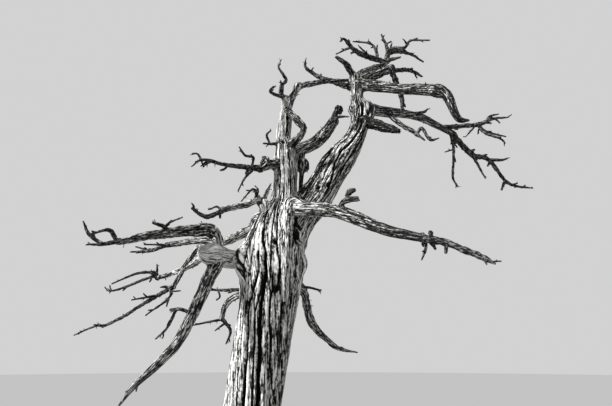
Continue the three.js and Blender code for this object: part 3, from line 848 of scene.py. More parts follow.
@dataclass
class LimbSurface:
    """The bare wood of one limb, as a surface of rings along it and sides round it.

    Args:
        axis: its centre line.
        relief: its relief.
        noise: the noise of the relief.
        step: how far apart the rings are, in metres.
        side_step: how wide a face is round the limb, in metres.
        least_sides: the fewest sides.
        tip: how it ends.
        plumpness: how much is added to its radius, in metres.
        furrows: its furrows.
        spots: its knots and scars.
        joins: the balls of the limbs that it grows from or that grow from it, each with the reach
            over which the two flow together, in metres.
    """

    axis: Axis
    relief: Relief
    noise: Noise
    step: float
    side_step: float
    least_sides: int = 5
    tip: Tip = Tip.ROUND
    plumpness: float = 0.0
    furrows: tuple[Furrow, ...] = ()
    spots: tuple[Spot, ...] = ()
    joins: list[tuple[Balls, float]] = field(default_factory=list)

    # How the middle strays from the line, and how furrows wind and fade out, in metres.
    WANDER_SIZE = 0.45
    WANDER_OFFSET = 50
    FADE = 0.25
    WINDING = 0.016
    WINDING_SIZE = 0.3
    WINDING_OFFSET = 3.1
    # The lips beside a split and round a hole: how far out in half widths, how sharp, how high.
    SPLIT_LIP_PLACE = 1.9
    SPLIT_LIP_SHARPNESS = 1.6
    SPLIT_LIP_SHARE = 0.16
    HOLE_LIP_PLACE = 1.25
    HOLE_LIP_SHARPNESS = 12
    HOLE_LIP_SHARE = 0.3
    # Painted shade: how strongly the inside of a split or a hole is drawn dark.
    PAINTED_SHADE_GAIN = 1.8
    # The rings that close a worn tip, in degrees, and a broken one, as shares of its radius.
    ROUND_TURNS = (30.0, 58.0, 80.0)
    ROUND_LENGTH = 0.7
    RIM_SHARES = (0.86, 0.6, 0.3)
    RIM_PLACES = (0.12, -0.25, -0.5)
    SPLINTER_STRETCH = 3
    SPLINTER_SIZE = 0.05
    SPLINTER_SHARE = 0.5
    DEEPEST_SHARE = 0.8

    def frames(self, shares: np.ndarray) -> tuple[np.ndarray, np.ndarray, np.ndarray]:
        """The direction of the line at each ring, and two directions square to it and each other,
        turned as little as possible from one ring to the next.

        Args:
            shares: the rings' shares of the way along.

        Returns:
            The directions along, to the side and across, one row for each ring.
        """
        tangents = self.axis.tangent(shares)
        normal = RIGHT if abs(tangents[0, 2]) > NEARLY_UPRIGHT else UP
        normals = np.empty_like(tangents)
        for i, tangent in enumerate(tangents):
            normal = unit(normal - (normal @ tangent) * tangent)
            normals[i] = normal
        return tangents, normals, np.cross(tangents, normals)

    def closing(self, radius: float) -> tuple[np.ndarray, np.ndarray]:
        """The rings that close the tip: a quarter round, or the rim and core of a broken end.

        Args:
            radius: the radius at the tip, in metres.

        Returns:
            Each ring's share of that radius, and how far it lies past the tip, in metres.
        """
        if self.tip is Tip.ROUND:
            turn = np.radians(self.ROUND_TURNS)
            return np.cos(turn), self.ROUND_LENGTH * radius * np.sin(turn)
        return np.array(self.RIM_SHARES), radius * np.array(self.RIM_PLACES)

    @staticmethod
    def arc(angles: np.ndarray, bearing: np.ndarray | float, radius: np.ndarray) -> np.ndarray:
        """How far round the limb each point is from a bearing, in metres."""
        turn = (angles - bearing + HALF_TURN) % FULL_TURN - HALF_TURN
        return np.radians(turn) * radius

    def carve(self, height: np.ndarray, angles: np.ndarray, radius: np.ndarray
              ) -> tuple[np.ndarray, np.ndarray]:
        """The limb's furrows and spots. A furrow's depth falls off as the square of one less the
        square of the distance from its middle, over its half width, and a low lip stands along
        each side of a split. A spot falls off in the same way to an oval edge, and a low lip
        stands round a hole.

        Args:
            height: how far along the limb each ring is, or its height on the trunk, as a column.
            angles: the angle of each side, in degrees, as a row.
            radius: the radius by ring and side.

        Returns:
            The rise in metres and the hollow from 0 to 1, by ring and side.
        """
        rise = np.zeros_like(radius)
        hollow = np.zeros_like(radius)
        for index, furrow in enumerate(self.furrows):
            heights, bearings = MM * np.array(furrow.path).T
            still = np.zeros_like(height)
            level = np.hstack([still + index * self.WINDING_OFFSET, still, height])
            winding = self.noise.at(level, self.WINDING_SIZE)[:, None] * self.WINDING
            bearing = np.interp(height, heights, bearings / MM)
            apart = np.abs(self.arc(angles, bearing, radius) + winding)
            fade = np.minimum(self.FADE, (heights[-1] - heights[0]) / 4)
            ends = smooth_step(height, heights[0] - fade, heights[0])
            ends = ends * (1 - smooth_step(height, heights[-1], heights[-1] + fade))
            share = apart / (furrow.half_width * MM)
            groove = ends * np.clip(1 - share**2, 0, 1) ** 2
            rise -= furrow.depth * MM * groove
            if furrow.depth > 0:
                past = share - self.SPLIT_LIP_PLACE
                lip = ends * np.exp(-(past**2) * self.SPLIT_LIP_SHARPNESS)
                rise += self.SPLIT_LIP_SHARE * furrow.depth * MM * lip
                # Painted shade inside the split.
                hollow = np.maximum(hollow, np.minimum(1, groove * self.PAINTED_SHADE_GAIN))
        for spot in self.spots:
            across = self.arc(angles, spot.bearing, radius) / (spot.half_width * MM)
            upward = (height - spot.height * MM) / (spot.half_height * MM)
            away = np.sqrt(across**2 + upward**2)
            bowl = np.clip(1 - away**2, 0, 1) ** 2
            rise += spot.rise * MM * bowl
            if spot.rise < 0:
                past = away - self.HOLE_LIP_PLACE
                lip = np.exp(-(past**2) * self.HOLE_LIP_SHARPNESS)
                rise -= self.HOLE_LIP_SHARE * spot.rise * MM * lip
                # Painted shade inside the hole.
                hollow = np.maximum(hollow, np.minimum(1, bowl * self.PAINTED_SHADE_GAIN))
        return rise, hollow

    def extra(self, along: np.ndarray, angles: np.ndarray, radius: np.ndarray
              ) -> tuple[np.ndarray, np.ndarray]:
        """The relief that a limb has besides that of all wood.

        Args:
            along: how far along the limb each ring is, as a column.
            angles: the angle of each side, in degrees, as a row.
            radius: the radius by ring and side.

        Returns:
            The rise in metres and the hollow from 0 to 1, by ring and side.
        """
        return self.carve(along, angles, radius)

    def splinters(self, grain: np.ndarray, largest: float, scale: np.ndarray) -> np.ndarray:
        """How far the rim of a broken end stands out along the limb: a noise times the limb's
        largest radius, less towards the core.

        Args:
            grain: the limb's points with the limb laid straight, by ring and side.
            largest: that radius, in metres.
            scale: the share of the tip's radius that each of the closing rings has.

        Returns:
            The shift of each point, in metres.
        """
        closed = len(scale)
        ragged = self.noise.at(grain[-closed:] * self.SPLINTER_STRETCH, self.SPLINTER_SIZE)
        ragged = ragged * largest * self.SPLINTER_SHARE
        shift = np.zeros(grain.shape[:-1])
        shift[-closed:] = ragged * scale[:, None]
        shift[-closed - 1] = ragged[0]
        return shift

    def grid(self) -> Grid:
        """The surface: the middle of each ring, plus the radius with its relief times the cosine
        of the angle to one side and its sine across, and less near the tip, which it closes.

        Returns:
            The grid of the limb.
        """
        shares, along = self.axis.even_shares(self.step)
        tangents, normals, across = self.frames(shares)
        middle = self.axis.position(shares)
        size = self.axis.radius(shares) + self.plumpness
        scale, past = self.closing(size[-1])
        closed = len(scale)
        pad = [(0, closed), (0, 0)]
        tangents, normals, across = (np.pad(v, pad, "edge") for v in (tangents, normals, across))
        past = np.concatenate([np.zeros(len(along)), past])[:, None]
        along = np.pad(along, (0, closed), "edge")[:, None] + past
        middle = np.pad(middle, pad, "edge") + past * tangents
        shrink = np.concatenate([np.ones(len(shares)), scale])[:, None]
        size = np.pad(size, (0, closed), "edge")[:, None] * shrink
        sides = max(self.least_sides, round(2 * math.pi * size.max() / self.side_step))
        angles = np.arange(sides)[None, :] * FULL_TURN / sides
        turn = np.radians(angles)[..., None]
        outward = np.cos(turn) * normals[:, None] + np.sin(turn) * across[:, None]
        to_side = self.noise.at(middle, self.WANDER_SIZE)[:, None]
        to_front = self.noise.at(middle + self.WANDER_OFFSET, self.WANDER_SIZE)[:, None]
        drift = to_side * normals + to_front * across
        fade = np.minimum(1, along / max(along[-1, 0], self.step)) * self.relief.wander
        middle = middle + fade * size * drift
        place = middle[:, None] + outward * size[..., None]
        radius = np.broadcast_to(size, (len(along), sides))
        swirl = np.radians(angles + self.relief.twist * along)
        mean = float(self.axis.thicknesses.mean()) / 2
        grain = np.stack([mean * np.cos(swirl), mean * np.sin(swirl), along + 0 * swirl], -1)
        rise, hollow = self.relief.on(self.noise, place, grain, radius)
        more, deeper = self.extra(along, angles, radius)
        rise = (rise + more) * shrink
        for balls, reach in self.joins:
            rise = rise + self.join(place, balls, reach)
        if self.tip is Tip.BROKEN:
            shift = self.splinters(grain, size.max(), scale)
            place = place + shift[..., None] * tangents[:, None]
            # The sunk core of a broken end is drawn black: its rot, and painted shade in the
            # hollow.
            hollow[-closed + 1:] = 1
        points = place + outward * np.maximum(rise, -self.DEEPEST_SHARE * radius)[..., None]
        return Grid(points, grain, np.maximum(hollow, deeper))

    @staticmethod
    def join(place: np.ndarray, balls: Balls, reach: float) -> np.ndarray:
        """How far a surface swells to flow into another limb: a quarter of the reach times the
        square of the share of the reach that is left between them.

        Args:
            place: the surface's points, by ring and side.
            balls: the other limb's balls.
            reach: how far from it the swelling starts, in metres.

        Returns:
            The rise of each point, in metres.
        """
        flat = place.reshape(-1, 3)
        edge = balls.radii.max() + reach
        low, high = balls.centres.min(0) - edge, balls.centres.max(0) + edge
        near = ((flat > low) & (flat < high)).all(1)
        rise = np.zeros(len(flat))
        left = np.clip(1 - balls.clearance(flat[near]) / reach, 0, 1)
        rise[near] = reach / 4 * left**2
        return rise.reshape(place.shape[:-1])


# The splits of the trunk. Those at bearings from 200 to 350 are where the photo shows them.
FURROWS = (
    Furrow([
        (0, 296), (988, 285), (1372, 279), (1739, 273), (2087, 268), (2414, 263), (2580, 262),
        (2716, 264), (2953, 266), (3262, 263),
    ], 46, 140),
    Furrow([
        (0, 270), (988, 259), (1432, 252), (1740, 248), (2091, 243), (2423, 237), (2590, 238),
        (2748, 244), (2886, 249), (3079, 251), (3300, 251),
    ], 34, 100),
    Furrow([(700, 278), (1091, 273), (1463, 268), (1770, 263), (2088, 259), (2383, 254),
            (2647, 257), (2848, 260)], 20, 40),
    Furrow([(900, 245), (1235, 240), (1616, 236), (1852, 234), (2095, 230), (2432, 223)], 12, 35),
    Furrow([(700, 236), (1083, 231), (1460, 229), (1853, 227), (2181, 222)], 11, 30),
    Furrow([(2500, 233), (2900, 232), (3400, 238)], 16, 50),
    Furrow([(2400, 219), (2900, 222), (3400, 228)], 10, 26),
    Furrow([
        (0, 352), (972, 326), (1188, 312), (1461, 301), (1740, 294), (2089, 287), (2414, 280),
        (2580, 278), (2747, 280), (2915, 279),
    ], 22, 70),
    Furrow([
        (600, 352), (1221, 342), (1490, 326), (1742, 316), (2094, 308), (2424, 305), (2897, 304),
        (3179, 304), (3432, 306), (3600, 307),
    ], 20, 60),
    Furrow([(1900, 330), (2435, 326), (2900, 322), (3400, 320)], 16, 45),
    Furrow([(3000, 274), (3500, 272), (4100, 268), (4500, 262)], 14, 45),
    Furrow([(3000, 288), (3600, 288), (4300, 286)], 18, 55),
    Furrow([(4300, 258), (4900, 250), (5450, 246), (5900, 240)], 14, 50),
    Furrow([(4500, 275), (5000, 268), (5500, 266)], 10, 30),
    Furrow([(6050, 308), (6600, 308)], 20, 60),
    Furrow([(4600, 303), (5300, 296), (5900, 290)], 13, 45),
    Furrow([
        (3006, 290), (3267, 286), (3536, 282), (3842, 280), (4175, 276), (4400, 268),
    ], 16, 45),
    Furrow([(2450, 207), (3000, 206), (3500, 208)], 6, 12),
    Furrow([(0, 46), (1100, 30), (2300, 8), (3400, -4)], 34, 95),
    Furrow([(300, 88), (1500, 66), (2900, 52), (4600, 36)], 38, 110),
    Furrow([(0, 132), (1500, 118), (2600, 104), (3900, 92)], 32, 90),
    Furrow([(100, 182), (1500, 166), (2800, 152), (4300, 138)], 34, 100),
    Furrow([(0, 216), (1300, 207), (2600, 196)], 20, 60),
    Furrow([(3180, 264), (3515, 260), (3800, 254), (4038, 246), (4371, 244)], 24, 75),
)

# Knot holes, scars and lumps of the trunk.
SPOTS = (
    Spot(279, 3600, 48, 62, -80),
    Spot(288, 2775, 62, 85, -60),
    Spot(292, 3058, 70, 26, -55),
    Spot(275, 2217, 26, 20, -40),
    Spot(283, 1990, 24, 26, -40),
    Spot(284, 1708, 20, 24, -35),
    Spot(284, 1060, 52, 70, -70),
    Spot(318, 3725, 95, 170, -150),
    Spot(321, 4030, 95, 190, -160),
    Spot(345, 4080, 120, 110, -90),
    Spot(287, 5620, 62, 84, 45),
    Spot(350, 3290, 150, 260, 75),
    Spot(214, 3270, 180, 430, 130),
    Spot(217, 3390, 150, 300, 90),
    Spot(196, 2600, 150, 420, -25),
    Spot(308, 6620, 55, 70, -55),
    Spot(120, 2200, 120, 160, 55),
    Spot(60, 3400, 45, 60, -60),
    Spot(140, 1500, 40, 55, -50),
    Spot(262, 5860, 40, 60, -40),
    Spot(300, 6500, 35, 60, -40),
)

# Buttresses of the root flare: bearing, half width in degrees and reach in millimetres.
BUTTRESSES = [
    (184, 32, 150), (244, 26, 120), (305, 34, 150), (15, 32, 130), (78, 30, 160), (130, 28, 120),
]


@dataclass
class TrunkSurface(LimbSurface):
    """The trunk: level rings, so that its foot is a flat cut, with its splits, knots and flare.

    Args:
        tails: for each bough on the trunk, the bearing and height at which it leaves and its
            radius, in degrees and metres. A strand of wood runs down from it.
        collar: the balls of the bough that the trunk has grown a collar round.
    """

    tails: list[tuple[float, float, float]] = field(default_factory=list)
    collar: Balls | None = None

    FLARE_HEIGHT = 0.9
    # Painted light: how much paler the trunk is drawn on the side that faces the key light and
    # darker on the side away from it, and the bearing of that lit side.
    LIT_SIDE_PALENESS = 0.12
    LIT_SIDE_BEARING = 205.0
    LIP_RISE = 0.025
    LIP_PLACE = 0.06
    LIP_WIDTH = 0.06
    TAIL_LENGTH = 1.1
    TAIL_TURN = 14.0
    TAIL_RISE = 0.45
    TINY = 1e-9

    def frames(self, shares: np.ndarray) -> tuple[np.ndarray, np.ndarray, np.ndarray]:
        """Directions up, to the right and away from the viewer, the same at each ring."""
        rows = np.ones((len(shares), 1))
        return rows * UP, rows * RIGHT, rows * np.cross(UP, RIGHT)

    def extra(self, along: np.ndarray, angles: np.ndarray, radius: np.ndarray
              ) -> tuple[np.ndarray, np.ndarray]:
        """The trunk's splits, spots, root flare and the strands under its boughs. The flare is
        the square of the share of its height that is left, and a strand is a bell curve round
        the trunk that dies away below its bough.

        Args:
            along: how far along the trunk each ring is, as a column.
            angles: the bearing of each side, in degrees, as a row.
            radius: the radius by ring and side.

        Returns:
            The rise in metres and the hollow from 0 to 1, by ring and side.
        """
        height = self.axis.position(self.axis.even_shares(self.step)[0])[:, 2]
        closed = len(along) - len(height)
        height = np.pad(height, (0, closed), "edge")[:, None]
        rise, hollow = self.carve(height, angles, radius)
        flare = np.clip(1 - height / self.FLARE_HEIGHT, 0, 1) ** 2
        for bearing, half_width, reach in BUTTRESSES:
            turn = np.abs((angles - bearing + HALF_TURN) % FULL_TURN - HALF_TURN)
            rise += reach * MM * flare * np.clip(1 - (turn / half_width) ** 2, 0, 1) ** 2
        for bearing, level, size in self.tails:
            below = level - height
            follow = bearing + self.TAIL_TURN * below
            fade = smooth_step(below, -size, 0) * (1 - smooth_step(below, 0, self.TAIL_LENGTH))
            ridge = np.exp(-((self.arc(angles, follow, radius) / size) ** 2))
            rise += self.TAIL_RISE * size * fade * ridge
        return rise, hollow

    def grid(self) -> Grid:
        """The surface of the trunk, with its collar, and painted light on it: palest on the side
        that faces the key light and darkest on the side away from it.

        Returns:
            The grid of the trunk.
        """
        made = super().grid()
        if self.collar is not None:
            away = self.collar.clearance(made.points.reshape(-1, 3)).reshape(made.hollow.shape)
            lip = np.exp(-(((away - self.LIP_PLACE) / self.LIP_WIDTH) ** 2))
            middle = made.points.mean(1, keepdims=True)
            outward = unit((made.points - middle) * (1 - UP) + self.TINY)
            made.points += outward * (self.LIP_RISE * lip)[..., None]
        # Painted light: paler towards the key light's side and darker away from it, by the cosine
        # of the turn from that side.
        turn = np.linspace(0, 2 * math.pi, made.hollow.shape[1], endpoint=False)
        made.paleness = self.LIT_SIDE_PALENESS * np.cos(turn - math.radians(self.LIT_SIDE_BEARING))
        return made


TRUNK_RELIEF = Relief(
    gnarl_share=0.04, gnarl_size=0.75, strand_share=0.028, strand_size=0.062, crack_depth=0.01,
    crack_size=0.045, stretch=26, twist=20, wander=0.03,
)
THICK_RELIEF = Relief(
    gnarl_share=0.09, gnarl_size=0.45, strand_share=0.14, strand_size=0.06, crack_depth=0.009,
    crack_size=0.04, stretch=13, twist=28, wander=0.12,
)
BOUGH_RELIEF = Relief(
    gnarl_share=0.22, gnarl_size=0.17, strand_share=0.26, strand_size=0.04, crack_depth=0.006,
    crack_size=0.035, stretch=9, twist=40, wander=0.35,
)
STRAND_RELIEF = Relief(
    gnarl_share=0.16, gnarl_size=0.2, strand_share=0.08, strand_size=0.05, crack_depth=0.003,
    crack_size=0.035, stretch=7, twist=30, wander=0.1,
)
TWIG_RELIEF = Relief(
    gnarl_share=0.26, gnarl_size=0.09, strand_share=0.12, strand_size=0.02, crack_depth=0,
    crack_size=0.02, stretch=6, twist=60, wander=0.7,
)
BURL_RELIEF = Relief(
    gnarl_share=0.5, gnarl_size=0.11, strand_share=0.3, strand_size=0.045, crack_depth=0.01,
    crack_size=0.05, stretch=2, twist=90, wander=0.2,
)
STEM_RELIEF = Relief(
    gnarl_share=0.04, gnarl_size=0.3, strand_share=0.05, strand_size=0.042, crack_depth=0.005,
    crack_size=0.035, stretch=12, twist=-4, wander=0.06,
)
SMOOTH_RELIEF = Relief(
    gnarl_share=0.08, gnarl_size=0.2, strand_share=0.08, strand_size=0.035, crack_depth=0.003,
    crack_size=0.035, stretch=12, twist=12, wander=0.15,
)

# The boughs that are snapped off.
BROKEN = {"right_broken_stub", "left_upper_bough", "right_arm", "hanging_burl"}


@dataclass(frozen=True)
class Character:
    """How a bough differs from a plain one of its solid's size.

    Args:
        fullness: how many times as thick as its solid it is.
        paleness: how much paler it is drawn at its root and at its tip, as a share of the way to
            white. On the left elbow bough and the right arm the paler parts are painted light.
        shift: how far its root is set aside, in metres.
        reach: the share of its length over which that dies away.
        relief: its relief, where it isn't that of most boughs.
        furrows: its furrows.
        spots: its knots and scars.
    """

    fullness: float = 1.06
    paleness: tuple[float, float] = (0.0, 0.0)
    shift: tuple[float, float, float] = (0.0, 0.0, 0.0)
    reach: float = 0.5
    relief: Relief | None = None
    furrows: tuple[Furrow, ...] = ()
    spots: tuple[Spot, ...] = ()

    def dress(self, axis: Axis) -> Axis:
        """The axis of the bough: its solid's, made thicker and set aside near the root.

        Args:
            axis: the solid's axis.

        Returns:
            The bough's.
        """
        shares = np.linspace(0, 1, len(axis.points))
        left = 1 - smooth_step(shares, self.reach / 2, self.reach)
        return Axis(
            axis.points + left[:, None] * np.array(self.shift), axis.thicknesses * self.fullness,
        )


# The boughs that differ from a plain one.
CHARACTERS = {
    "leaning_stem": Character(
        0.94, (-0.04, -0.2), relief=STEM_RELIEF,
        furrows=(
            Furrow([(2400, 300), (2730, 288), (2980, 272), (3320, 270), (3500, 278), (4000, 284),
                    (4700, 282)], 24, 60),
            Furrow([(1800, 305), (2300, 312), (2700, 317), (3100, 311), (3500, 312), (4100, 312),
                    (4700, 318)], 17, 45),
            Furrow([(2500, 292), (3100, 290), (3700, 296), (4300, 298)], 85, -18),
            Furrow([(1500, 222), (2400, 226), (3300, 228), (4000, 236)], 20, 50),
            Furrow([(4200, 262), (4900, 255), (5500, 262)], 16, 50),
            Furrow([(1600, 100), (3000, 84), (4800, 96)], 30, 70),
            Furrow([(1600, 170), (3000, 158), (4400, 150)], 30, 60),
            Furrow([(1900, 30), (3200, 42), (5000, 20)], 26, 55),
        ),
        spots=(
            Spot(262, 2330, 60, 60, -60),
            Spot(290, 2470, 50, 70, -60),
            Spot(240, 2700, 40, 30, -30),
            Spot(345, 4680, 190, 430, 140),
            Spot(190, 4780, 110, 250, 65),
        ),
    ),
    "crown_bough": Character(1.06, (-0.15, -0.1)),
    "crown_second_bough": Character(0.96, (-0.15, -0.2)),
    "crown_hooked_bough": Character(0.92, (-0.1, -0.2)),
    "lower_right_bough": Character(0.98, (-0.1, -0.25)),
    "right_side_bough": Character(1.06, (-0.2, -0.25)),
    "bridge_span": Character(1.06, (-0.1, -0.15)),
    # Painted light: drawn paler, most at its tip, for the light on its lit left end.
    "left_elbow_bough": Character(
        1.1, (0.2, 0.45), (0.0, 0.23, 0.03), 0.6, relief=SMOOTH_RELIEF,
    ),
    "left_drooping_bough": Character(
        1.06, (-0.1, -0.05), (0.0, 0.14, 0.0), relief=SMOOTH_RELIEF,
        furrows=(Furrow([(250, 300), (1200, 310), (2400, 300)], 10, 22),),
    ),
    "left_long_riser": Character(0.75, (0.0, 0.15), (0.07, 0.0, 0.0), 4.0),
    "left_long_bough": Character(1.2, (-0.2, -0.1)),
    "crook_bough": Character(1.4),
    "loop_bough": Character(1.35, (-0.15, -0.15)),
    "left_upper_bough": Character(1.3, (-0.2, -0.2)),
    "left_middle_bough": Character(1.2),
    "upper_right_bough": Character(1.06, (-0.2, -0.2)),
    "upper_right_forearm": Character(1.1, (-0.25, -0.35), relief=SMOOTH_RELIEF),
    # Painted light: drawn paler at its root, for the light on its top there, and darker towards
    # its tip.
    "right_arm": Character(1.06, (0.22, -0.4)),
    "right_broken_stub": Character(1.1, (-0.45, -0.5)),
    "hanging_burl": Character(1.0, (-0.2, -0.2)),
    "rising_bough": Character(1.06, (-0.05, -0.1)),
}


@dataclass(frozen=True)
class Burl:
    """A knob of wood on a bough.

    Args:
        bough: the bough's name.
        share: the share of the way along it.
        bearing: the bearing to which it stands out, in degrees.
        climb: its climb, in degrees.
        out: how far its middle stands out from the bough's, in millimetres.
        thick: its thickness in millimetres.
        paleness: how much paler its wood is, as a share of the way to white.
    """

    bough: str
    share: float
    bearing: float
    climb: float
    out: float
    thick: float
    paleness: float = -0.1

    PLACES = (-0.45, 0.0, 0.2)
    SIZES = (0.7, 1.0, 0.75)

    def axis(self, carrier: Axis) -> Axis:
        """The burl's axis: a short one from its root past its thick middle, whose places and
        sizes are shares of the burl's thickness.

        Args:
            carrier: the axis of its bough.

        Returns:
            Its own.
        """
        way = heading(self.bearing, self.climb)
        root = carrier.position(self.share)[0]
        places = MM * (self.out + self.thick * np.array(self.PLACES))
        sizes = MM * self.thick * np.array(self.SIZES)
        return Axis(root + places[:, None] * way, sizes)


# The knobs that stand out from the boughs.
BURLS = [
    Burl("left_upper_bough", 0.52, 150, 75, 90, 215),
    Burl("left_upper_bough", 0.3, 200, -60, 40, 150),
    Burl("right_arm", 0.98, 20, 60, 60, 100),
    Burl("upper_right_bough", 0.8, 90, 90, 100, 80),
    Burl("left_middle_bough", 0.14, 250, -45, 150, 340, 0.25),
    Burl("left_middle_bough", 0.45, 230, 40, 50, 150),
    Burl("left_long_bough", 0.15, 90, 80, 20, 210),
    Burl("crook_bough", 0.72, 200, 40, 30, 150),
    Burl("loop_bough", 0.36, 0, 25, 70, 50),
    Burl("rising_bough", 1.0, 0, 66, 335, 200, -0.35),
]


@dataclass(frozen=True)
class Strand:
    """A strand or knob of wood that stands out from a limb.

    Args:
        limb: the limb's name.
        paleness: how much paler its wood is, as a share of the way to white.
        stations: its x, y, height and thickness at points along it, in millimetres.
    """

    limb: str
    paleness: float
    stations: list[tuple[float, float, float, float]]

    SEED = 12
    STEP = 0.012

    def grid(self) -> Grid:
        """The surface of the strand.

        Returns:
            Its grid.
        """
        rows = MM * np.array(self.stations, float)
        axis = Axis(rows[:, :3], rows[:, 3])
        made = LimbSurface(axis, STRAND_RELIEF, Noise(self.SEED), self.STEP, self.STEP).grid()
        made.paleness = self.paleness
        return made


# The strand that climbs the front of the trunk and bends over into the right arm, the one along
# the leaning stem, drawn darker as painted shade on the stem's shadowed left side, and the knobs
# on the right arm's twigs.
STRANDS = [
    Strand("trunk", 0.0, [
        (634, -470, 2560, 60), (636, -540, 2831, 90), (643, -615, 3226, 175),
        (641, -600, 3577, 215), (648, -550, 3874, 235), (664, -510, 4181, 250),
        (708, -500, 4375, 255), (811, -500, 4405, 240), (944, -540, 4309, 200),
    ]),
    # Painted shade: this strand is drawn darker to stand in for the shade along the leaning stem's
    # left side.
    Strand("leaning_stem", -0.3, [
        (827, 20, 4707, 125), (928, 20, 4861, 128), (1110, 50, 5097, 112),
        (1244, 70, 5339, 104), (1369, 100, 5601, 104), (1574, 140, 5864, 92),
        (1716, 220, 6081, 60),
    ]),
    Strand("right_arm_spur_twigs", 0.1, [
        (1721, -950, 4325, 70), (1776, -970, 4417, 110), (1865, -980, 4442, 80),
    ]),
    Strand("right_arm_spur_twigs", 0.1, [
        (1631, -930, 4237, 60), (1742, -980, 4263, 92), (1902, -1050, 4258, 70),
    ]),
    Strand("right_arm_twigs", 0.0, [
        (2972, -1560, 3376, 42), (2958, -1570, 3426, 50), (2944, -1580, 3456, 94),
        (2938, -1580, 3476, 72),
    ]),
]

# The bough that the trunk has grown a collar round, and the one that goes on as a second trunk.
COLLARED = "left_elbow_bough"
LEANING = "leaning_stem"


@dataclass
class Pine:
    """The centre lines of the whole tree, laid out as the solids are."""

    axes: dict[str, Axis] = field(default_factory=dict)

    def __post_init__(self) -> None:
        """Lays out the trunk, the boughs and the stems of the masses, each from its carrier."""
        stations = MM * np.array(TRUNK_STATIONS, float)
        self.axes["trunk"] = Axis(stations[:, :3], stations[:, 3])
        for name, limb in {**BOUGHS, **MASSES}.items():
            root = self.axes[limb.on].position(limb.at)[0]
            self.axes[name] = Axis.follow(root, limb.thick, limb.runs)

    def carried_by(self, name: str) -> list[str]:
        """The boughs that grow from a limb."""
        return [child for child, limb in BOUGHS.items() if limb.on == name]


def strands(limb: str) -> list[Grid]:
    """The surfaces of the strands that stand out from a limb."""
    return [strand.grid() for strand in STRANDS if strand.limb == limb]


def within(value: float, limits: tuple[float, float]) -> float:
    """A value, or the nearer of two limits where it lies outside them."""
    return min(max(value, limits[0]), limits[1])


@dataclass
class Trunk:
    """The trunk of the tree.

    Args:
        pine: the centre lines.
        step: how far apart its rings are, in metres.
        side_step: how wide its faces are, in metres.
    """

    pine: Pine
    step: float = 0.03
    side_step: float = 0.0112

    SEED = 11
    TAIL_WIDTH = 0.9
    REACH_SHARE = 0.55

    def build(self) -> bpy.types.Object:
        """Builds the trunk.

        Returns:
            Its object.
        """
        axis = self.pine.axes["trunk"]
        tails, joins = [], []
        for name in self.pine.carried_by("trunk"):
            if name == COLLARED:
                continue
            bough = self.pine.axes[name]
            way = bough.tangent(0.0)[0]
            size = float(bough.radius(0.0)[0])
            bearing = math.degrees(math.atan2(way[1], way[0]))
            if name != LEANING:
                tails.append((bearing, float(bough.points[0, 2]), self.TAIL_WIDTH * size))
            joins.append((bough.balls(), self.REACH_SHARE * size))
        surface = TrunkSurface(
            axis, TRUNK_RELIEF, Noise(self.SEED), self.step, self.side_step, joins=joins,
            tails=tails, collar=self.pine.axes[COLLARED].balls(), furrows=FURROWS, spots=SPOTS,
        )
        return mesh_of("trunk_wood", [surface.grid(), *strands("trunk")])


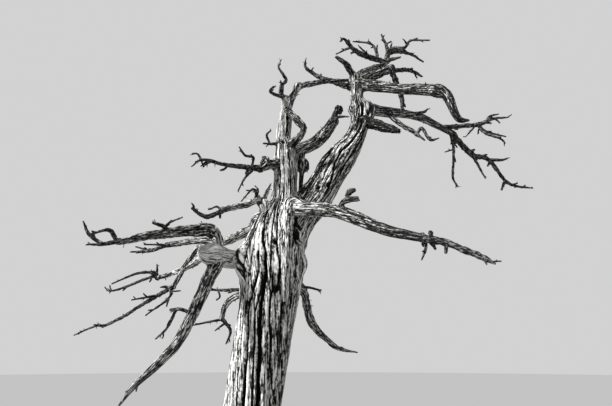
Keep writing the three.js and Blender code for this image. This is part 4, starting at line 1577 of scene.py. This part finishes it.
@dataclass
class Bough:
    """One bough, with the short snags of the twigs that broke off it.

    Args:
        name: its name.
        pine: the centre lines.
        seed: the seed of its relief and snags.
    """

    name: str
    pine: Pine
    seed: int

    THICK = 0.14
    SIDES = 12
    # The steps and the reach of a join, as shares of a radius, and their limits in metres.
    STEP_SHARE = 0.2
    STEPS = (0.011, 0.03)
    SIDE_STEP_SHARE = 0.12
    SIDE_STEPS = (0.006, 0.012)
    REACH_SHARE = 1.1
    REACHES = (0.04, 0.22)
    BURL_STEP = 0.014
    SNAG_SPACING = 0.34
    SNAG_PLACES = (0.12, 0.97)
    SNAG_LENGTH = (0.03, 0.11)
    SNAG_THICKNESS = (0.016, 0.034)
    SNAG_SPREAD = (35.0, 80.0)
    SNAG_TAPER = (0.7, 0.45)
    SNAG_SUNK = 0.8
    SNAG_STEP = 0.014
    SNAG_SIDE_STEP = 0.006

    def character(self) -> Character:
        """How it differs from a plain bough."""
        return CHARACTERS.get(self.name, Character())

    def axis(self) -> Axis:
        """The centre line of its bare wood."""
        return self.character().dress(self.pine.axes[self.name])

    def burls(self) -> list[Grid]:
        """The knobs on the bough.

        Returns:
            Their grids.
        """
        carrier = self.axis()
        step = self.BURL_STEP
        grids = []
        for burl in BURLS:
            if burl.bough == self.name:
                surface = LimbSurface(
                    burl.axis(carrier), BURL_RELIEF, Noise(self.seed), step, step, self.SIDES,
                )
                grids.append(surface.grid())
                grids[-1].paleness = burl.paleness
        return grids

    def surface(self) -> LimbSurface:
        """The bough's own surface, which flows into the limbs that it meets. The one with a
        collar round it doesn't flow into the trunk.

        Returns:
            The surface.
        """
        axis = self.axis()
        largest = float(axis.thicknesses.max()) / 2
        own = self.character()
        relief = own.relief or (THICK_RELIEF if largest > self.THICK else BOUGH_RELIEF)
        others = self.pine.carried_by(self.name)
        if self.name != COLLARED:
            others.append(BOUGHS[self.name].on)
        joins = []
        for other in others:
            size = min(largest, float(self.pine.axes[other].thicknesses[0]) / 2)
            reach = within(self.REACH_SHARE * size, self.REACHES)
            joins.append((self.pine.axes[other].balls(), reach))
        return LimbSurface(
            axis, relief, Noise(self.seed), within(self.STEP_SHARE * largest, self.STEPS),
            within(self.SIDE_STEP_SHARE * largest, self.SIDE_STEPS), self.SIDES,
            tip=Tip.BROKEN if self.name in BROKEN else Tip.ROUND, joins=joins,
            furrows=own.furrows, spots=own.spots,
        )

    def snags(self) -> list[Grid]:
        """The snags, at seeded places along the bough.

        Returns:
            Their grids.
        """
        axis = self.pine.axes[self.name]
        rng = np.random.default_rng(self.seed)
        noise = Noise(self.seed)
        grids = []
        count = round(axis.length() / self.SNAG_SPACING)
        for share in rng.uniform(*self.SNAG_PLACES, count):
            thick = rng.uniform(*self.SNAG_THICKNESS)
            length = rng.uniform(*self.SNAG_LENGTH)
            spread = rng.uniform(*self.SNAG_SPREAD)
            radius = float(axis.radius(share)[0])
            snag = side_twig(
                axis, share, rng.uniform(0, FULL_TURN), spread, spread,
                self.SNAG_SUNK * radius + length, min(thick, radius), self.SNAG_TAPER,
            )
            surface = LimbSurface(
                snag, TWIG_RELIEF, noise, self.SNAG_STEP, self.SNAG_SIDE_STEP, tip=Tip.BROKEN,
            )
            grids.append(surface.grid())
        return grids

    def build(self) -> bpy.types.Object:
        """Builds the bough, with what stands out from it.

        Returns:
            Its object.
        """
        root, tip = self.character().paleness
        bough = self.surface().grid()
        bough.paleness = np.linspace(root, tip, len(bough.hollow))[:, None]
        parts = [bough, *strands(self.name), *self.burls(), *self.snags()]
        return mesh_of(f"{self.name}_wood", parts)


def side_twig(carrier: Axis, share: float, turn: float, spread: float, bend: float, length: float,
              thick: float, taper: tuple[float, float], first_part: float = 0.55) -> Axis:
    """A twig that leaves its carrier to one side and bends part-way.

    Args:
        carrier: the axis it grows from.
        share: the share of the way along the carrier.
        turn: how far round the carrier it leaves, in degrees from its upper side.
        spread: the angle between it and the carrier at its root, in degrees.
        bend: that angle past its middle.
        length: its length in metres.
        thick: its thickness at the root, in metres.
        taper: the shares of that thickness at its middle and its tip.
        first_part: the share of the length that its first part has.

    Returns:
        Its axis.
    """
    tangent = carrier.tangent(share)[0]
    steep = abs(tangent[2]) > NEARLY_UPRIGHT
    level = unit(np.cross(tangent, RIGHT if steep else UP))
    raised = np.cross(level, tangent)
    outward = level * math.sin(math.radians(turn)) + raised * math.cos(math.radians(turn))
    root = carrier.position(share)[0]
    points = [root]
    for angle, part in ((spread, first_part), (bend, 1 - first_part)):
        lean = math.radians(angle)
        way = math.cos(lean) * tangent + math.sin(lean) * outward
        points.append(points[-1] + way * length * part)
    return Axis(np.array(points), thick * np.array([1, *taper]))


@dataclass
class Growth:
    """A mass of bare twigs: the solids' stem, arms and small twigs, and finer spurs on them.

    Args:
        name: its name.
        pine: the centre lines.
        seed: the seed of its small twigs, as the solids have it.
        others: the balls of everything that its small twigs keep clear of.
        rule: the rule of its small twigs.
        carriers: the axes of its stem and arms.
        twigs: the axes of its small twigs.
    """

    name: str
    pine: Pine
    seed: int
    others: Balls
    rule: TwigRule = TwigRule()
    carriers: list[Axis] = field(default_factory=list)
    twigs: list[Axis] = field(default_factory=list)

    PLUMPNESS = 0.004
    TWIG_PLUMPNESS = 0.0065
    REACH = 0.05
    SPUR_SPACING = 0.2
    SPUR_PLACES = (0.15, 1)
    SPUR_LENGTH = (0.03, 0.08)
    SPUR_SPREAD = (30.0, 75.0)
    SPUR_BEND = (0.3, 1.5)
    SPUR_THICKNESS = (0.018, 0.03)
    SPUR_TAPER = (0.75, 0.4)
    # How far apart the rings are and how wide a face is, in metres, and the fewest sides.
    CARRIER_FACES = (0.016, 0.011, 8)
    TWIG_FACES = (0.02, 0.012, 5)
    SPUR_FACES = (0.028, 0.012, 4)

    def __post_init__(self) -> None:
        """Grows the arms from the stem, and the small twigs along the stem and the arms."""
        stem = self.pine.axes[self.name]
        arms = MASSES[self.name].arms
        self.carriers = [stem, *(
            Axis.follow(stem.position(arm.at)[0], arm.thick, arm.runs) for arm in arms
        )]
        numbers = Seeded(self.seed)
        for carrier in self.carriers:
            self.twigs += self.along(carrier, numbers)

    def along(self, carrier: Axis, numbers: Seeded) -> list[Axis]:
        """The small twigs along a carrier, without those that would touch something.

        Args:
            carrier: the stem or an arm.
            numbers: the seeded numbers.

        Returns:
            Their axes.
        """
        rule = self.rule
        length = carrier.length()
        reach = min(max(length * rule.reach_share, rule.shortest), rule.longest)
        count = math.floor(length / rule.spacing + 0.5)
        twigs = []
        for i in range(count):
            share = (i + rule.first_place + rule.place_range * numbers.draw()) / count
            side = rule.side_turn if i % 2 else -rule.side_turn
            turn = side + rule.turn_range * (numbers.draw() - 0.5)
            spread = rule.least_spread + rule.spread_range * numbers.draw()
            full = reach * (rule.least_length + rule.length_range * numbers.draw())
            bend = spread * (rule.least_bend + rule.bend_range * numbers.draw())
            thick = 2 * float(carrier.radius(share)[0]) * rule.thickness_share
            twig = side_twig(
                carrier, share, turn, spread, bend, full * (1 - rule.shorter_at_tip * share),
                max(rule.least_thickness, thick), (rule.middle_share, rule.tip_share),
                rule.first_part,
            )
            outer = twig.balls()
            skip = Axis.BALLS_PER_RUN
            apart = self.others.clearance(outer.centres[skip:]) - outer.radii[skip:]
            if (apart > rule.clearance).all():
                twigs.append(twig)
        return twigs

    def spurs(self) -> list[Axis]:
        """The finer spurs, at seeded places along every carrier and small twig.

        Returns:
            Their axes.
        """
        rng = np.random.default_rng(self.seed)
        spurs = []
        for carrier in self.carriers + self.twigs:
            count = round(carrier.length() / self.SPUR_SPACING)
            for share in rng.uniform(*self.SPUR_PLACES, count):
                thick = rng.uniform(*self.SPUR_THICKNESS)
                spread = rng.uniform(*self.SPUR_SPREAD)
                spurs.append(side_twig(
                    carrier, share, rng.uniform(0, FULL_TURN), spread,
                    spread * rng.uniform(*self.SPUR_BEND), rng.uniform(*self.SPUR_LENGTH),
                    min(thick, 2 * float(carrier.radius(share)[0])), self.SPUR_TAPER,
                ))
        return spurs

    def build(self) -> bpy.types.Object:
        """Builds the mass. Only its stem flows into the limb that carries it.

        Returns:
            Its object.
        """
        noise = Noise(self.seed)
        parent = self.pine.axes[MASSES[self.name].on]
        made = []
        for index, axis in enumerate(self.carriers):
            joins = [] if index else [(parent.balls(), self.REACH)]
            made.append(LimbSurface(
                axis, TWIG_RELIEF, noise, *self.CARRIER_FACES, joins=joins,
                plumpness=self.PLUMPNESS,
            ))
        for axis in self.twigs:
            made.append(LimbSurface(
                axis, TWIG_RELIEF, noise, *self.TWIG_FACES, plumpness=self.TWIG_PLUMPNESS,
            ))
        for axis in self.spurs():
            made.append(LimbSurface(axis, TWIG_RELIEF, noise, *self.SPUR_FACES))
        grids = [surface.grid() for surface in made]
        return mesh_of(f"{self.name}_growth", grids + strands(self.name))


def linear(colour: str) -> tuple[float, float, float, float]:
    """The linear colour of an sRGB hex value, by the curve of the sRGB standard.

    Args:
        colour: six hex digits.

    Returns:
        Red, green, blue and an alpha of 1.
    """
    parts = [int(colour[i:i + 2], 16) / 255 for i in (0, 2, 4)]
    red, green, blue = (
        part / 12.92 if part <= 0.04045 else ((part + 0.055) / 1.055) ** 2.4 for part in parts
    )
    return red, green, blue, 1.0


def empty_tree(owner: bpy.types.Material | bpy.types.World) -> bpy.types.NodeTree:
    """The node tree of a material or a world, emptied.

    Args:
        owner: the material or world.

    Returns:
        Its tree.
    """
    owner.use_nodes = True
    owner.node_tree.nodes.clear()
    return owner.node_tree


def add_node(tree: bpy.types.NodeTree, kind: str, inputs: dict, **settings: object
             ) -> bpy.types.Node:
    """Adds a node, sets it up and links it.

    Args:
        tree: the node tree.
        kind: the node's type.
        inputs: for each input, by name or number, its value or the output that is linked to it.
        settings: the node's own settings.

    Returns:
        The node.
    """
    node = tree.nodes.new(kind)
    for setting, value in settings.items():
        setattr(node, setting, value)
    for key, value in inputs.items():
        if isinstance(value, bpy.types.NodeSocket):
            tree.links.new(value, node.inputs[key])
        else:
            node.inputs[key].default_value = value
    return node


@dataclass(frozen=True)
class BareWood:
    """Old pine wood without its bark, grey from sun, wind and frost: dull, streaked along the
    grain with pale ridges and dark fibres, and painted nearly black in its drying cracks, grooves
    and holes, as painted shade.

    Args:
        name: the name of the material.
        pale: the colour of its ridges.
        mid: the colour of most of it.
        dark: the colour of its furrows.
        crack: the colour deep in a crack.
        fibre_mm: the width of a fibre as drawn. The real ones are about 1 mm wide, too fine to
            show, so that a few are drawn as one.
        pit_mm: the size of the weathered pits between the fibres, drawn as coarse as they show.
        streak_mm: the width of a streak.
        patch_mm: the size of the paler and darker patches.
        stretch: how many times longer than wide the fibres and streaks are.
        roughness: its roughness.
        relief_mm: how deep its fibres are.
    """

    name: str
    pale: str
    mid: str
    dark: str
    crack: str
    fibre_mm: float
    pit_mm: float
    streak_mm: float
    patch_mm: float
    stretch: float
    roughness: float
    relief_mm: float

    PIT_STRETCH = 2.6
    NOISE_ROUGHNESS = 0.62
    CHECK_BAND = 0.03
    PAINTED_SHADE_WEIGHT = 1.1
    CHECK_WEIGHT = 0.3
    DARK_STOP = 0.18
    MID_STOP = 0.44
    PALE_STOP = 0.8
    ROUGHER = 0.1
    SMOOTHER = 0.08
    SHINE = 0.25

    def noises(self, tree: bpy.types.NodeTree) -> list[bpy.types.NodeSocket]:
        """The noises of the wood: three along its grain, and one in patches all over the tree.

        Args:
            tree: the material's node tree.

        Returns:
            The fibres, pits, streaks and patches, each from 0 to 1.
        """
        grain = add_node(tree, "ShaderNodeAttribute", {}, attribute_name="grain")
        place = add_node(tree, "ShaderNodeTexCoord", {})
        noises = []
        for size, detail, stretch in (
            (self.fibre_mm, 1.5, self.stretch), (self.pit_mm, 1.0, self.PIT_STRETCH),
            (self.streak_mm, 3.0, self.stretch),
        ):
            across = 1 / (size * MM)
            scaled = add_node(tree, "ShaderNodeMapping", {
                "Vector": grain.outputs["Vector"],
                "Scale": (across, across, across / stretch),
            })
            noises.append(add_node(tree, "ShaderNodeTexNoise", {
                "Vector": scaled.outputs["Vector"], "Scale": 1.0, "Detail": detail,
                "Roughness": self.NOISE_ROUGHNESS,
            }).outputs["Fac"])
        noises.append(add_node(tree, "ShaderNodeTexNoise", {
            "Vector": place.outputs["Object"], "Scale": 1 / (self.patch_mm * MM), "Detail": 3.0,
        }).outputs["Fac"])
        return noises

    def checks(self, tree: bpy.types.NodeTree, streak: bpy.types.NodeSocket
               ) -> bpy.types.NodeSocket:
        """The fine cracks: narrow bands about the middle value of the streaks.

        Args:
            tree: the material's node tree.
            streak: the noise of the streaks.

        Returns:
            How deep in a crack a place is, from 0 to 1.
        """
        apart = add_node(tree, "ShaderNodeMath", {0: streak, 1: 0.5}, operation="SUBTRACT")
        size = add_node(tree, "ShaderNodeMath", {0: apart.outputs[0]}, operation="ABSOLUTE")
        return add_node(tree, "ShaderNodeMapRange", {
            "Value": size.outputs[0], "From Min": 0.0, "From Max": self.CHECK_BAND,
            "To Min": 1.0, "To Max": 0.0,
        }).outputs[0]

    def tone(self, tree: bpy.types.NodeTree, noises: list[bpy.types.NodeSocket],
             check: bpy.types.NodeSocket) -> bpy.types.NodeSocket:
        """The tone of the wood: each noise spread about its middle value and weighted, and their
        sum less the weighted hollows, which is painted shade, and the fine cracks, plus the
        paleness.

        Args:
            tree: the material's node tree.
            noises: the fibres, pits, streaks and patches.
            check: the fine cracks.

        Returns:
            The tone, from 0 in a crack to 1 on a ridge.
        """
        hollow = add_node(tree, "ShaderNodeAttribute", {}, attribute_name="hollow")
        paler = add_node(tree, "ShaderNodeAttribute", {}, attribute_name="paleness")
        fibre, pit, streak, patch = noises
        tone = None
        for noise, half_width, weight in (
            (fibre, 0.06, 0.52), (pit, 0.08, 0.34), (streak, 0.15, 0.1), (patch, 0.2, 0.08),
        ):
            spread = add_node(tree, "ShaderNodeMapRange", {
                "Value": noise, "From Min": 0.5 - half_width, "From Max": 0.5 + half_width,
                "To Max": weight,
            }).outputs[0]
            tone = spread if tone is None else add_node(tree, "ShaderNodeMath", {
                0: tone, 1: spread,
            }, operation="ADD").outputs[0]
        # Painted shade: the hollows are taken off the tone.
        for depth, weight in (
            (hollow.outputs["Fac"], self.PAINTED_SHADE_WEIGHT), (check, self.CHECK_WEIGHT),
            (paler.outputs["Fac"], -1.0),
        ):
            tone = add_node(tree, "ShaderNodeMath", {
                0: depth, 1: -weight, 2: tone,
            }, operation="MULTIPLY_ADD").outputs[0]
        return add_node(tree, "ShaderNodeClamp", {"Value": tone}).outputs[0]

    def material(self) -> bpy.types.Material:
        """The material: its tone laid on a ramp of the four colours, rougher in the furrows than
        on the fibres, and with the fibres and fine cracks as relief.

        Returns:
            The material.
        """
        material = bpy.data.materials.new(self.name)
        tree = empty_tree(material)
        noises = self.noises(tree)
        fibre, _, streak, _ = noises
        check = self.checks(tree, streak)
        ramp = add_node(tree, "ShaderNodeValToRGB", {"Fac": self.tone(tree, noises, check)})
        stops = ramp.color_ramp.elements
        for position, colour in ((self.DARK_STOP, self.dark), (self.MID_STOP, self.mid)):
            stops.new(position).color = linear(colour)
        stops[0].color = linear(self.crack)
        stops[-1].color = linear(self.pale)
        stops[-1].position = self.PALE_STOP
        rough = add_node(tree, "ShaderNodeMapRange", {
            "Value": fibre, "To Min": self.roughness + self.ROUGHER,
            "To Max": self.roughness - self.SMOOTHER,
        })
        height = add_node(tree, "ShaderNodeMath", {0: fibre, 1: check}, operation="SUBTRACT")
        bump = add_node(tree, "ShaderNodeBump", {
            "Height": height.outputs[0], "Distance": self.relief_mm * MM, "Strength": 1.0,
        })
        wood = add_node(tree, "ShaderNodeBsdfPrincipled", {
            "Base Color": ramp.outputs["Color"], "Roughness": rough.outputs[0],
            "Normal": bump.outputs["Normal"], "Specular IOR Level": self.SHINE,
        })
        add_node(tree, "ShaderNodeOutputMaterial", {"Surface": wood.outputs[0]})
        return material


# The trunk and leaning stem are bleached the most, and the twigs are the darkest.
WOODS = {
    Wood.TRUNK: BareWood("weathered_trunk_wood", "F8F8F6", "B4B4B1", "464644", "070707",
                         21, 25, 60, 420, 18, 0.86, 12),
    Wood.BOUGH: BareWood("weathered_bough_wood", "E0E0DE", "727270", "282828", "060606",
                         20, 22, 50, 260, 11, 0.86, 8),
    Wood.TWIG: BareWood("weathered_twig_wood", "767674", "323231", "161616", "050505",
                        20, 18, 32, 160, 5, 0.9, 3),
}


@dataclass
class Studio:
    """The pale floor, the lights, the plain pale backdrop and the camera.

    Args:
        floor_tone: the sRGB colour of the floor.
        backdrop_tone: the sRGB colour that shows behind the tree.
        size: how far the floor reaches, in metres.
        sun_bearing: the bearing that the main light comes from, in degrees.
        sun_height: its height above level, in degrees.
        sun_width: how wide it is, in degrees. A wide light gives soft shadows.
        sun_strength: its strength.
        sky_strength: the strength of the light from all round.
    """

    floor_tone: str = "A2A2A2"
    backdrop_tone: str = "D2D2D2"
    size: float = 60.0
    sun_bearing: float = 209.0
    sun_height: float = 36.0
    sun_width: float = 9.0
    sun_strength: float = 6.0
    sky_strength: float = 0.5

    CAMERA_PLACE = (1.0, -7.68, 1.6)
    CAMERA_CLIMB = 21.169
    LENS_MM = 24.0
    SENSOR_MM = 36.0
    SEEN_SHARE = 3
    RINGS = 40
    SIDES = 96
    MIDDLE = 0.01
    THICKNESS = 0.05

    def floor(self) -> bpy.types.Object:
        """A thin disc, whose top is at ground level: out from the middle of the top, down the
        edge, and back to the middle below. One more ring by the edge keeps the top flat there.

        Returns:
            Its object.
        """
        out = np.append(
            np.linspace(self.MIDDLE, self.size - self.THICKNESS, self.RINGS), self.size,
        )
        radii = np.concatenate([out, out[::-1]])[:, None]
        levels = np.repeat([0.0, -self.THICKNESS], self.RINGS + 1)[:, None]
        angles = np.linspace(0, 2 * math.pi, self.SIDES, endpoint=False)
        disc = np.stack([
            radii * np.cos(angles),
            radii * np.sin(angles),
            levels + 0 * angles,
        ], -1)
        piece = mesh_of("floor", [Grid(disc[::-1], disc[::-1], np.zeros(disc.shape[:2]))])
        material = bpy.data.materials.new("matt_studio_floor")
        tree = empty_tree(material)
        paint = add_node(tree, "ShaderNodeBsdfDiffuse", {"Color": linear(self.floor_tone)})
        add_node(tree, "ShaderNodeOutputMaterial", {"Surface": paint.outputs[0]})
        piece.data.materials.append(material)
        return piece

    def light(self) -> None:
        """The main light from the upper left, and an even light from all round, which the camera
        sees as the plain backdrop."""
        lamp = bpy.data.lights.new("key_light", "SUN")
        lamp.energy = self.sun_strength
        lamp.angle = math.radians(self.sun_width)
        in_scene("key_light", lamp).rotation_euler = (
            0.0, math.radians(RIGHT_ANGLE - self.sun_height), math.radians(self.sun_bearing),
        )
        world = bpy.data.worlds.new("even_light")
        tree = empty_tree(world)
        seen = add_node(tree, "ShaderNodeLightPath", {}).outputs["Is Camera Ray"]
        even = add_node(tree, "ShaderNodeBackground", {"Strength": self.sky_strength})
        plain = add_node(tree, "ShaderNodeBackground", {"Color": linear(self.backdrop_tone)})
        both = add_node(tree, "ShaderNodeMixShader", {
            0: seen, 1: even.outputs[0], 2: plain.outputs[0],
        })
        add_node(tree, "ShaderNodeOutputWorld", {"Surface": both.outputs[0]})
        bpy.context.scene.world = world

    def camera(self) -> None:
        """The camera at the photo's viewing angle."""
        lens = bpy.data.cameras.new("camera")
        lens.lens = self.LENS_MM
        lens.sensor_width = self.SENSOR_MM
        lens.clip_end = self.SEEN_SHARE * self.size
        camera = in_scene("camera", lens)
        camera.location = self.CAMERA_PLACE
        camera.rotation_euler = (math.radians(RIGHT_ANGLE + self.CAMERA_CLIMB), 0.0, 0.0)
        bpy.context.scene.camera = camera

    def build(self) -> None:
        """Sets up the studio."""
        self.floor()
        self.light()
        self.camera()
        bpy.context.scene.view_settings.view_transform = "Standard"


@dataclass
class Workshop:
    """Places each piece of the tree over the solids that it stands for.

    Args:
        finishes: the material of each wood.
    """

    finishes: dict[Wood, bpy.types.Material]

    def place(self, piece: bpy.types.Object, node: str, wood: Wood) -> None:
        """Finishes a piece, sets it on the tree in place of a node and reports it.

        Args:
            piece: the piece.
            node: the name of the node.
            wood: its finish.
        """
        piece.data.materials.append(self.finishes[wood])
        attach(piece, "root")
        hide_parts(node)
        corners = len(piece.data.loops)
        triangles = corners - 2 * len(piece.data.polygons)
        log.info("%s: %d triangles in place of %s", piece.name, triangles, node)


# The seed of the first bough, and that of the first mass, which the solids have too. That of each
# next one is one more.
FIRST_BOUGH = 101
FIRST_MASS = 1


def main() -> None:
    """Builds the tree and the studio."""
    logging.basicConfig(level=logging.INFO, format="%(name)s: %(message)s")
    pine = Pine()
    shop = Workshop({wood: look.material() for wood, look in WOODS.items()})
    shop.place(Trunk(pine).build(), "trunk", Wood.TRUNK)
    for index, name in enumerate(BOUGHS):
        wood = Wood.TRUNK if name == LEANING else Wood.BOUGH
        shop.place(Bough(name, pine, index + FIRST_BOUGH).build(), name, wood)
    balls = [pine.axes[name].balls() for name in ("trunk", *BOUGHS)]
    for index, name in enumerate(MASSES):
        others = Balls(
            np.concatenate([ball.centres for ball in balls]),
            np.concatenate([ball.radii for ball in balls]),
        )
        growth = Growth(name, pine, index + FIRST_MASS, others)
        shop.place(growth.build(), name, Wood.TWIG)
        balls += [axis.balls() for axis in growth.carriers + growth.twigs]
    Studio().build()


if __name__ == "__main__":
    main()
